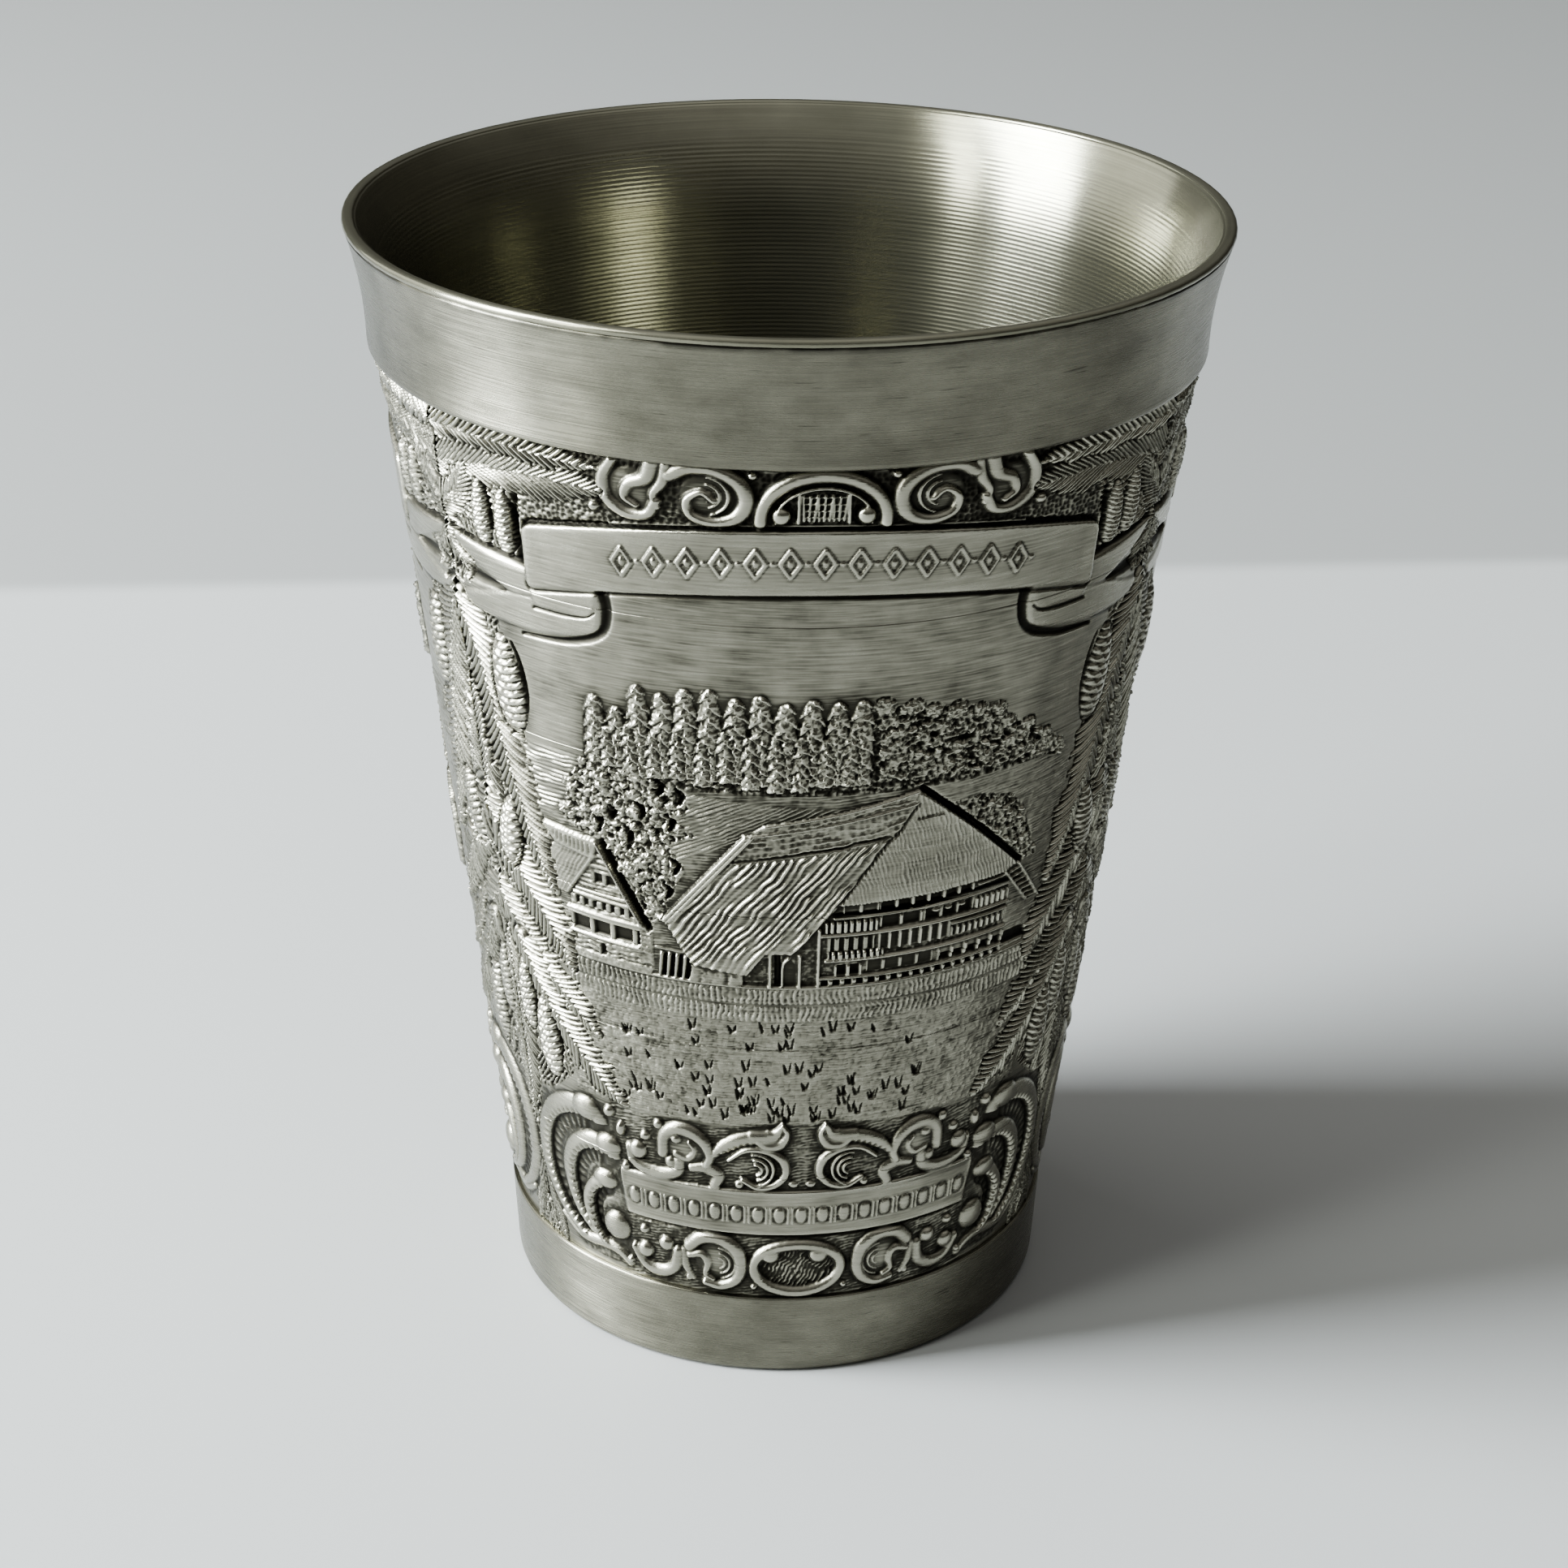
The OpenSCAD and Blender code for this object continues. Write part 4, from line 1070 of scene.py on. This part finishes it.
# Turns a profile of (r, z) points round the axis. A closed profile makes a ring; an open one
# starts and ends on the axis and is closed there by fans. The UV map runs round and along it.
def lathe(name, profile, columns, node, material, closed=True):
    profile = np.asarray(profile, float)
    body = profile if closed else profile[1:-1]
    rows, k = len(body), np.arange(columns)
    angle = 2 * np.pi * k / columns
    ring = [body[:, :1] * np.cos(angle), body[:, :1] * np.sin(angle), body[:, 1:] + 0 * angle]
    points = np.stack(ring, -1).reshape(-1, 3)
    length = np.concatenate([[0], np.cumsum(np.hypot(*np.diff(profile, axis=0).T))])
    i, j = np.meshgrid(np.arange(rows - 1), k, indexing="ij")

    def corner(right, up):   # UV of one corner of every quad
        place = length[i + up + (0 if closed else 1)] / length[-1]
        return np.stack([(j + right) / columns, place], -1).reshape(-1, 2)

    def strip(corners):      # UVs of one row of faces, the same for each column but for its place
        row = [np.stack([(k + right) / columns, 0 * k + up], -1) for right, up in corners]
        return np.stack(row, 1).reshape(-1, 2)

    faces = quads(rows, columns, True).tolist()
    uv = [np.stack([corner(0, 0), corner(1, 0), corner(1, 1), corner(0, 1)], 1).reshape(-1, 2)]
    last, following = (rows - 1) * columns, (k + 1) % columns
    if closed:
        faces += np.stack([last + k, last + following, following, k], -1).tolist()
        uv.append(strip([(0, 0.99), (1, 0.99), (1, 1), (0, 1)]))
    else:
        low, high = rows * columns, rows * columns + 1
        points = np.vstack([points, [[0, 0, profile[0][1]], [0, 0, profile[-1][1]]]])
        faces += np.stack([following, k, 0 * k + low], -1).tolist()
        faces += np.stack([last + k, last + following, 0 * k + high], -1).tolist()
        uv.append(strip([(1, 0.01), (0, 0.01), (0.5, 0.0)]))
        uv.append(strip([(0, 0.99), (1, 0.99), (0.5, 1.0)]))
    return newPiece(name, points, faces, node, material, 0, None, np.vstack(uv))


# Materials. Each is a Principled metal; nodes give it its patina, brushing and wear.
finish = {
    "bright": (0.42, 0.41, 0.345),   # worn, polished pewter
    "grey": (0.225, 0.218, 0.178),
    "slate": (0.045, 0.043, 0.034),
    "dark": (0.016, 0.015, 0.012),   # antique black left in the recesses
    "band": ((0.14, 0.135, 0.108), (0.215, 0.208, 0.168)),       # cloudy between these two
    # painted shade for the crease under the lip
    "creaseShade": (0.02, 0.019, 0.016),
    "liner": ((0.155, 0.151, 0.115), (0.23, 0.224, 0.174)),
    "base": ((0.25, 0.245, 0.23), (0.48, 0.47, 0.44)),
    "solder": ((0.05, 0.049, 0.043), (0.22, 0.215, 0.19)),
}


def newMaterial(name, roughness=0.4, anisotropy=0.0, metal=1.0):
    material = bpy.data.materials.new(name)
    material.use_nodes = True
    nodes, links = material.node_tree.nodes, material.node_tree.links
    shader = nodes["Principled BSDF"]
    shader.inputs["Metallic"].default_value = metal
    shader.inputs["Roughness"].default_value = roughness
    shader.inputs["Anisotropic"].default_value = anisotropy
    shader.inputs["Anisotropic Rotation"].default_value = 0.25   # gloss spreads across the brush marks
    return material, nodes, links, shader


def node(nodes, kind, **values):  # a shader node with some of its settings or inputs given
    made = nodes.new("ShaderNode" + kind)
    for key, value in values.items():
        if hasattr(made, key):
            setattr(made, key, value)
        else:
            made.inputs[key.replace("_", " ")].default_value = value
    return made


def ramp(nodes, links, source, stops):  # colour ramp: stops are (place, colour or grey value)
    made = nodes.new("ShaderNodeValToRGB")
    element = made.color_ramp.elements
    while len(element) < len(stops):
        element.new(0.5)
    for e, (place, colour) in zip(element, stops):
        e.position = place
        e.color = (*colour, 1) if hasattr(colour, "__len__") else (colour, colour, colour, 1)
    links.new(source, made.inputs["Fac"])
    return made.outputs["Color"]


def blended(nodes, links, kind, share, a, b):  # MixRGB of two colours or sockets
    made = nodes.new("ShaderNodeMixRGB")
    made.blend_type = kind
    for socket, value in (("Fac", share), ("Color1", a), ("Color2", b)):
        if isinstance(value, bpy.types.NodeSocket):
            links.new(value, made.inputs[socket])
        elif hasattr(value, "__len__"):
            made.inputs[socket].default_value = (*value, 1)
        else:
            made.inputs[socket].default_value = value
    return made.outputs["Color"]


# Noise on Object coordinates, stretched by a scale per axis in 1/m.
def grain(nodes, links, scale, detail=3.0, roughness=0.55):
    place = nodes.new("ShaderNodeTexCoord")
    mapping = nodes.new("ShaderNodeMapping")
    mapping.inputs["Scale"].default_value = scale
    links.new(place.outputs["Object"], mapping.inputs["Vector"])
    made = node(nodes, "TexNoise", Scale=1.0, Detail=detail, Roughness=roughness)
    links.new(mapping.outputs["Vector"], made.inputs["Vector"])
    return made.outputs["Fac"]


# Noise on the piece's own UV map: around is repeats round the axis, along repeats up or down it.
def turnedGrain(nodes, links, around, along, detail=2.0):
    place = node(nodes, "UVMap", uv_map="turned")
    mapping = nodes.new("ShaderNodeMapping")
    mapping.inputs["Scale"].default_value = (around, along, 1)
    links.new(place.outputs["UV"], mapping.inputs["Vector"])
    made = node(nodes, "TexNoise", Scale=1.0, Detail=detail)
    links.new(mapping.outputs["Vector"], made.inputs["Vector"])
    return made.outputs["Fac"]


def bumped(nodes, links, shader, height, strength, distance):
    bump = node(nodes, "Bump", Strength=strength, Distance=distance)
    links.new(height, bump.inputs["Height"])
    links.new(bump.outputs["Normal"], shader.inputs["Normal"])


def tangentRound(nodes, links, shader):  # brush marks run round the axis
    tangent = node(nodes, "Tangent", direction_type="UV_MAP", uv_map="turned")
    links.new(tangent.outputs["Tangent"], shader.inputs["Tangent"])


# Cast relief: black in the recesses, grey on the slopes, worn bright on the proud edges, and the
# whole rubbed level with steel wool.
def patinatedRelief():
    material, nodes, links, shader = newMaterial("patinated_relief", 0.4)
    wear = node(nodes, "Attribute", attribute_name="wear").outputs["Fac"]
    cloud = grain(nodes, links, (420, 420, 420), 5)
    lines = turnedGrain(nodes, links, 16, 430, 4)
    clouded = blended(nodes, links, "OVERLAY", 0.4, wear, cloud)
    worn = blended(nodes, links, "OVERLAY", 0.55, clouded, lines)
    tones = [(0.0, finish["dark"]), (0.36, finish["slate"]), (0.60, finish["grey"]),
             (0.9, finish["bright"])]
    gloss = [(0.15, 0.52), (0.5, 0.33), (0.85, 0.22)]
    links.new(ramp(nodes, links, worn, tones), shader.inputs["Base Color"])
    links.new(ramp(nodes, links, worn, gloss), shader.inputs["Roughness"])
    lumps = grain(nodes, links, (5200, 5200, 5200), 4)
    bumped(nodes, links, shader, blended(nodes, links, "MIX", 0.55, lumps, lines), 0.6, 0.00004)
    return material


# Turned and brushed band: fine lines round it, cloudy handling marks, dark nicks along the lines
# and painted shade, broken into patches, in the crease under the lip.
def brushedBand():
    material, nodes, links, shader = newMaterial("brushed_band", 0.28, 0.9)
    cloud = grain(nodes, links, (330, 330, 600), 6)
    lines = turnedGrain(nodes, links, 22, 190, 4)
    nicks = ramp(nodes, links, turnedGrain(nodes, links, 60, 90, 2), [(0.66, 1.0), (0.74, 0.35)])
    tone = ramp(nodes, links, cloud, [(0.3, finish["band"][0]), (0.7, finish["band"][1])])
    streaked = blended(nodes, links, "OVERLAY", 0.4, tone, lines)
    marked = blended(nodes, links, "MULTIPLY", 0.7, streaked, nicks)
    place = nodes.new("ShaderNodeTexCoord")
    apart = nodes.new("ShaderNodeSeparateXYZ")
    links.new(place.outputs["Object"], apart.inputs["Vector"])
    height = beaker["height"]
    # Painted shade: the band's top just under the lip is darkened in patches, where the crease's shade falls.
    joint = node(nodes, "MapRange", From_Min=height - 0.75 * mm, From_Max=height - 0.45 * mm)
    links.new(apart.outputs["Z"], joint.inputs["Value"])
    patchy = ramp(nodes, links, grain(nodes, links, (260, 260, 260), 3), [(0.42, 0.1), (0.56, 0.8)])
    creaseShade = blended(nodes, links, "MULTIPLY", 1.0, joint.outputs["Result"], patchy)
    links.new(blended(nodes, links, "MIX", creaseShade, marked, finish["creaseShade"]), shader.inputs["Base Color"])
    links.new(ramp(nodes, links, lines, [(0.3, 0.22), (0.7, 0.32)]), shader.inputs["Roughness"])
    bumped(nodes, links, shader, lines, 0.5, 0.00003)
    tangentRound(nodes, links, shader)
    return material


# Lathe-turned inside: the grooves are in the mesh; fine brushing and cloudy stains are here. A
# little of it is not metal but the dull film that drink leaves.
def turnedLiner():
    material, nodes, links, shader = newMaterial("turned_liner", 0.22, 0.82, 0.9)
    cloud = grain(nodes, links, (120, 120, 200), 5)
    lines = turnedGrain(nodes, links, 9, 1300, 3)
    tone = ramp(nodes, links, cloud, [(0.3, finish["liner"][0]), (0.7, finish["liner"][1])])
    links.new(blended(nodes, links, "OVERLAY", 0.35, tone, lines), shader.inputs["Base Color"])
    links.new(ramp(nodes, links, cloud, [(0.35, 0.25), (0.65, 0.2)]), shader.inputs["Roughness"])
    bumped(nodes, links, shader, lines, 0.3, 0.00002)
    tangentRound(nodes, links, shader)
    return material


def castBase():  # dull and finely pitted
    material, nodes, links, shader = newMaterial("cast_base", 0.5)
    cloud = grain(nodes, links, (300, 300, 300), 5)
    tone = ramp(nodes, links, cloud, [(0.3, finish["base"][0]), (0.7, finish["base"][1])])
    links.new(tone, shader.inputs["Base Color"])
    bumped(nodes, links, shader, grain(nodes, links, (2500, 2500, 2500), 3), 0.4, 0.00005)
    return material


def darkSolder():  # blackened and lumpy
    material, nodes, links, shader = newMaterial("dark_solder", 0.55)
    cloud = grain(nodes, links, (1500, 1500, 900), 4)
    tone = ramp(nodes, links, cloud, [(0.35, finish["solder"][0]), (0.75, finish["solder"][1])])
    links.new(tone, shader.inputs["Base Color"])
    bumped(nodes, links, shader, cloud, 0.5, 0.00006)
    return material


reliefMetal = patinatedRelief()
bandMetal = brushedBand()
linerMetal = turnedLiner()
baseMetal = castBase()
solderMetal = darkSolder()
for name in ("seam_solder_right", "seam_solder_left", "seam_solder_back", "base_solder"):
    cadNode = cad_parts[name]
    cadNode.data.materials.clear()
    cadNode.data.materials.append(solderMetal)
print("materials done", flush=True)


# The liner: the outside of the cup, the thin rolled lip, the turned inside with its real grooves
# and the floor. Inside, r falls along the cone and a groove of a cosine is cut into it.
liner = {
    "pitch": 0.24 * mm,              # one turn of the lathe tool
    "groove": 0.0085 * mm,           # depth of its mark
    "wall": 0.65 * mm,
    "lipWall": 0.6 * mm,             # the lip, bead and all
    "bead": 0.21 * mm,               # radius of the bead round its outer edge
    "smoothTop": 1.7 * mm,           # the tool marks stop this far below the lip
    "flare": 5.8 * mm,               # the height that flares
    "inner": 0.12 * mm,              # radius of the lip's inner edge
    "floor": 1.2 * mm,
    "fillet": 3.0 * mm,
    "columns": 90,
}


def backOfSheet(z):  # radius of the cone that the panels are soldered to
    return beaker["waist"] - beaker["relief"] - beaker["sheet"] + slope * (z - beaker["footTop"])


def arc(centre, radius, start, end, steps):  # points of (r, z) on a circle, degrees from outwards
    a = np.radians(np.linspace(start, end, steps))
    return np.stack([centre[0] + radius * np.cos(a), centre[1] + radius * np.sin(a)], 1)


def makeLiner():
    low, top, lip = linerBox[0].z, beaker["height"], beaker["lip"]
    floor, fillet, pitch, bead = low + liner["floor"], liner["fillet"], liner["pitch"], liner["bead"]
    mouth, inner, wall = lip - liner["lipWall"], liner["inner"], liner["wall"]
    z = np.arange(floor + fillet, top - inner, pitch / 4)
    rise = np.clip((z - top + liner["flare"]) / liner["flare"], 0, 1)
    bore = backOfSheet(z) - wall + (mouth - backOfSheet(top) + wall) * rise ** 2
    cut = smooth((top - liner["smoothTop"] - z) / (0.5 * mm))
    bore = bore + cut * liner["groove"] * np.cos(2 * np.pi * z / pitch)
    corner = backOfSheet(floor + fillet) - wall - fillet
    rings = np.arange(corner, 0.3 * mm, -pitch / 3)
    marks = liner["groove"] * (0.5 + 0.5 * np.cos(2 * np.pi * rings / pitch))
    profile = np.vstack([
        [(0, low), (backOfSheet(low), low)],
        [(backOfSheet(beaker["rimLow"]), beaker["rimLow"]), (lip - 2 * bead, top - 2.2 * bead)],
        arc((lip - bead, top - bead), bead, -75, 90, 11),
        arc((mouth + inner, top - 0.14 * mm), inner, 95, 180, 6),
        np.stack([bore, z], 1)[::-1],
        arc((corner, floor + fillet), fillet, 0, -90, 8)[1:],
        np.stack([rings, floor - marks], 1),
        [(0, floor)],
    ])
    return lathe("liner", profile, liner["columns"], "liner_cup", linerMetal, closed=False)


# The smooth band under the lip: straight, then flaring to it as a parabola, its lower edge rounded.
rim = {
    "proud": 0.3 * mm,               # its step out from the raised work
    "edge": 0.3 * mm,                # radius of its lower edge
    "top": 0.41 * mm,                # how far below the lip it ends
    "flare": 6.0 * mm,               # the height that flares
    "tuck": 0.07 * mm,               # how far it stays inside the lip's bead
    "sheet": 0.7 * mm,
}


def makeRim():
    low, top = rimBox[0].z, beaker["height"] - rim["top"]
    edge, r = rim["edge"], beaker["shoulder"] + rim["proud"]
    z = np.linspace(low + edge, top, 60)
    reach = np.clip((z - top) / rim["flare"] + 1, 0, 1)
    face = r + (beaker["lip"] - rim["tuck"] - r) * reach ** 2
    back = [(beaker["lip"] - rim["sheet"], top), (beaker["shoulder"] - 0.8 * mm, low)]
    profile = np.vstack([arc((r - edge, low + edge), edge, -90, 0, 6), np.stack([face, z], 1)[1:], back])
    return lathe("rim", profile, 256, "rim_band", bandMetal)


# The smooth band at the foot: a cone with rounded edges, and the ring under it that it stands on.
foot = {
    "taper": 0.25 * mm,
    "edge": 0.45 * mm,               # radius of its lower edge
    "topEdge": 0.12 * mm,
    "ring": 2.2 * mm,                # width of the ring that it stands on
    "seat": 2.5 * mm,                # height of the cup's seat in it
    "sheet": 1.6 * mm,
    "chamfer": 0.15 * mm,
}


def makeFoot():
    top, waist = footBox[1].z, beaker["waist"]
    edge, small, low = foot["edge"], foot["topEdge"], waist - foot["taper"]
    z = np.linspace(edge, top - small, 40)[1:-1]
    face = low + (waist - low) * (z - edge) / (top - small - edge)
    inside, behind, chamfer = low - foot["ring"], waist - foot["sheet"], foot["chamfer"]
    back = [(behind, top), (behind, foot["seat"]), (inside, foot["seat"] - 0.1 * mm), (inside, chamfer),
            (inside + chamfer, 0)]
    profile = np.vstack([arc((low - edge, edge), edge, -90, 0, 8), np.stack([face, z], 1),
                         arc((waist - small, top - small), small, 0, 90, 5), back])
    return lathe("foot", profile, 256, "foot_band", bandMetal)


# The disc that closes the foot, with rings of tool marks on its underside.
base = {
    "pitch": 0.4 * mm,
    "mark": 0.012 * mm,              # depth of a tool mark
    "edge": 0.1 * mm,
}


def makeBase():
    low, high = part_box("base_disc")
    rings = np.linspace(0.2 * mm, high.x - base["edge"], 90)
    marks = base["mark"] * (0.5 + 0.5 * np.cos(2 * np.pi * rings / base["pitch"]))
    rest = [(high.x, low.z + base["edge"]), (high.x, high.z), (0.5 * mm, high.z), (0, high.z)]
    profile = np.vstack([[(0, low.z + base["mark"])], np.stack([rings, low.z + marks], 1), rest])
    return lathe("base", profile, 128, "base_disc", baseMetal, closed=False)


makeLiner()
makeRim()
makeFoot()
makeBase()
print("turned pieces done", flush=True)

# The panels: columns and rows of each field, and the slices that it is cut into.
fields = {"front": (604, 784, 6), "side": (372, 484, 2)}
frameWork = (frieze, twigs, ribbonWork, plateWork, cornerScrolls)
panels = [("front", "front", 0, frontScene), ("right", "side", 120, chapelScene), ("left", "side", -120,
                                                                                   millScene)]
for name, kind, turn, scene in panels:
    columns, rows, slices = fields[kind]
    field = newField(columns, rows)
    field["h"] = brushedSheet(field)
    for work in (scene, *frameWork):
        work(field)
    panel("relief_" + name, field, slices, math.radians(turn), "relief_panel_" + name, reliefMetal)


# The floor: one pale sheet, darker beyond an edge behind the beaker: painted shade standing in for the dimmer backdrop
# there.
floorTone = {
    "table": (0.32, 0.324, 0.322),
    "beyond": (0.225, 0.228, 0.225),
    "edge": 0.100,
    "blur": 0.002,                   # half the width of the change
    "reach": 2.0,
}


def makeFloor():
    material, nodes, links, shader = newMaterial("pale_floor", 0.55, 0, 0.0)
    place = nodes.new("ShaderNodeTexCoord")
    apart = nodes.new("ShaderNodeSeparateXYZ")
    links.new(place.outputs["Object"], apart.inputs["Vector"])
    far = node(nodes, "MapRange", interpolation_type="SMOOTHSTEP")
    far.inputs["From Min"].default_value = floorTone["edge"] - floorTone["blur"]
    far.inputs["From Max"].default_value = floorTone["edge"] + floorTone["blur"]
    links.new(apart.outputs["Y"], far.inputs["Value"])
    # painted shade on the floor beyond the edge
    tone = blended(nodes, links, "MIX", far.outputs["Result"], floorTone["table"], floorTone["beyond"])
    links.new(tone, shader.inputs["Base Color"])
    mesh = bpy.data.meshes.new("floor")
    r = floorTone["reach"]
    mesh.from_pydata([(-r, -r, 0), (r, -r, 0), (r, r, 0), (-r, r, 0)], [], [(0, 1, 2, 3)])
    mesh.materials.append(material)
    floor = bpy.data.objects.new("floor", mesh)
    bpy.context.collection.objects.link(floor)


# The lights: azimuth from -Y towards -X and elevation in degrees, distance, width and height in
# metres, power and colour. The room is a grey that brightens overhead.
lamps = {
    "window_left": (87, 28, 0.7, 0.28, 0.66, 32, (0.92, 0.975, 1.0)),
    "window_front": (60.5, 28, 0.9, 0.13, 0.90, 5, (0.96, 1.0, 0.95)),
    "wall_left": (122, 24, 0.8, 0.46, 0.60, 1.8, (0.96, 0.98, 0.95)),
}
room = [(0.0, (0.055, 0.052, 0.041)), (0.25, (0.10, 0.097, 0.08)), (0.6, (0.33, 0.33, 0.32)),
        (1.0, (0.74, 0.74, 0.725))]


def softbox(name, azimuth, elevation, distance, width, height, power, colour):  # faces the beaker
    lamp = bpy.data.lights.new(name, "AREA")
    lamp.shape = "RECTANGLE"
    lamp.size, lamp.size_y = width, height
    lamp.energy = power
    lamp.color = colour
    box = bpy.data.objects.new(name, lamp)
    bpy.context.collection.objects.link(box)
    a, e = math.radians(azimuth), math.radians(elevation)
    outwards = Vector((-math.sin(a) * math.cos(e), -math.cos(a) * math.cos(e), math.sin(e)))
    box.location = outwards * distance + Vector((0, 0, beaker["height"] / 2))
    box.rotation_euler = outwards.to_track_quat("Z", "Y").to_euler()


def makeWorld():  # the room's colour by height above the horizon
    world = bpy.data.worlds.new("room")
    bpy.context.scene.world = world
    world.use_nodes = True
    nodes, links = world.node_tree.nodes, world.node_tree.links
    place = nodes.new("ShaderNodeTexCoord")
    apart = nodes.new("ShaderNodeSeparateXYZ")
    links.new(place.outputs["Generated"], apart.inputs["Vector"])
    links.new(ramp(nodes, links, apart.outputs["Z"], room), nodes["Background"].inputs["Color"])


viewpoint = {
    "azimuth": 5,                    # degrees from -Y towards -X
    "distance": 157.2 * mm,
    "height": 103.0 * mm,
    "pitch": 0.4452,                 # radians down from level
    "yaw": 0.0009,
    "roll": 0.0146,
    "lens": 73.9,
}


def makeCamera():
    data = bpy.data.cameras.new("camera")
    data.lens, data.sensor_width = viewpoint["lens"], 36
    data.clip_start = 0.005
    camera = bpy.data.objects.new("camera", data)
    bpy.context.collection.objects.link(camera)
    azimuth, distance = math.radians(viewpoint["azimuth"]), viewpoint["distance"]
    camera.location = (-distance * math.sin(azimuth), -distance * math.cos(azimuth), viewpoint["height"])
    turn = Matrix.Rotation(-azimuth - viewpoint["yaw"], 3, "Z")
    down = Matrix.Rotation(math.pi / 2 - viewpoint["pitch"], 3, "X")
    tilt = Matrix.Rotation(viewpoint["roll"], 3, "Z")
    camera.rotation_euler = (turn @ down @ tilt).to_euler()
    bpy.context.scene.camera = camera


makeFloor()
makeWorld()
for name, values in lamps.items():
    softbox(name, *values)
makeCamera()
bpy.context.scene.view_settings.view_transform = "AgX"
bpy.context.scene.view_settings.look = "AgX - Medium High Contrast"
print("floor, lights and camera done", flush=True)
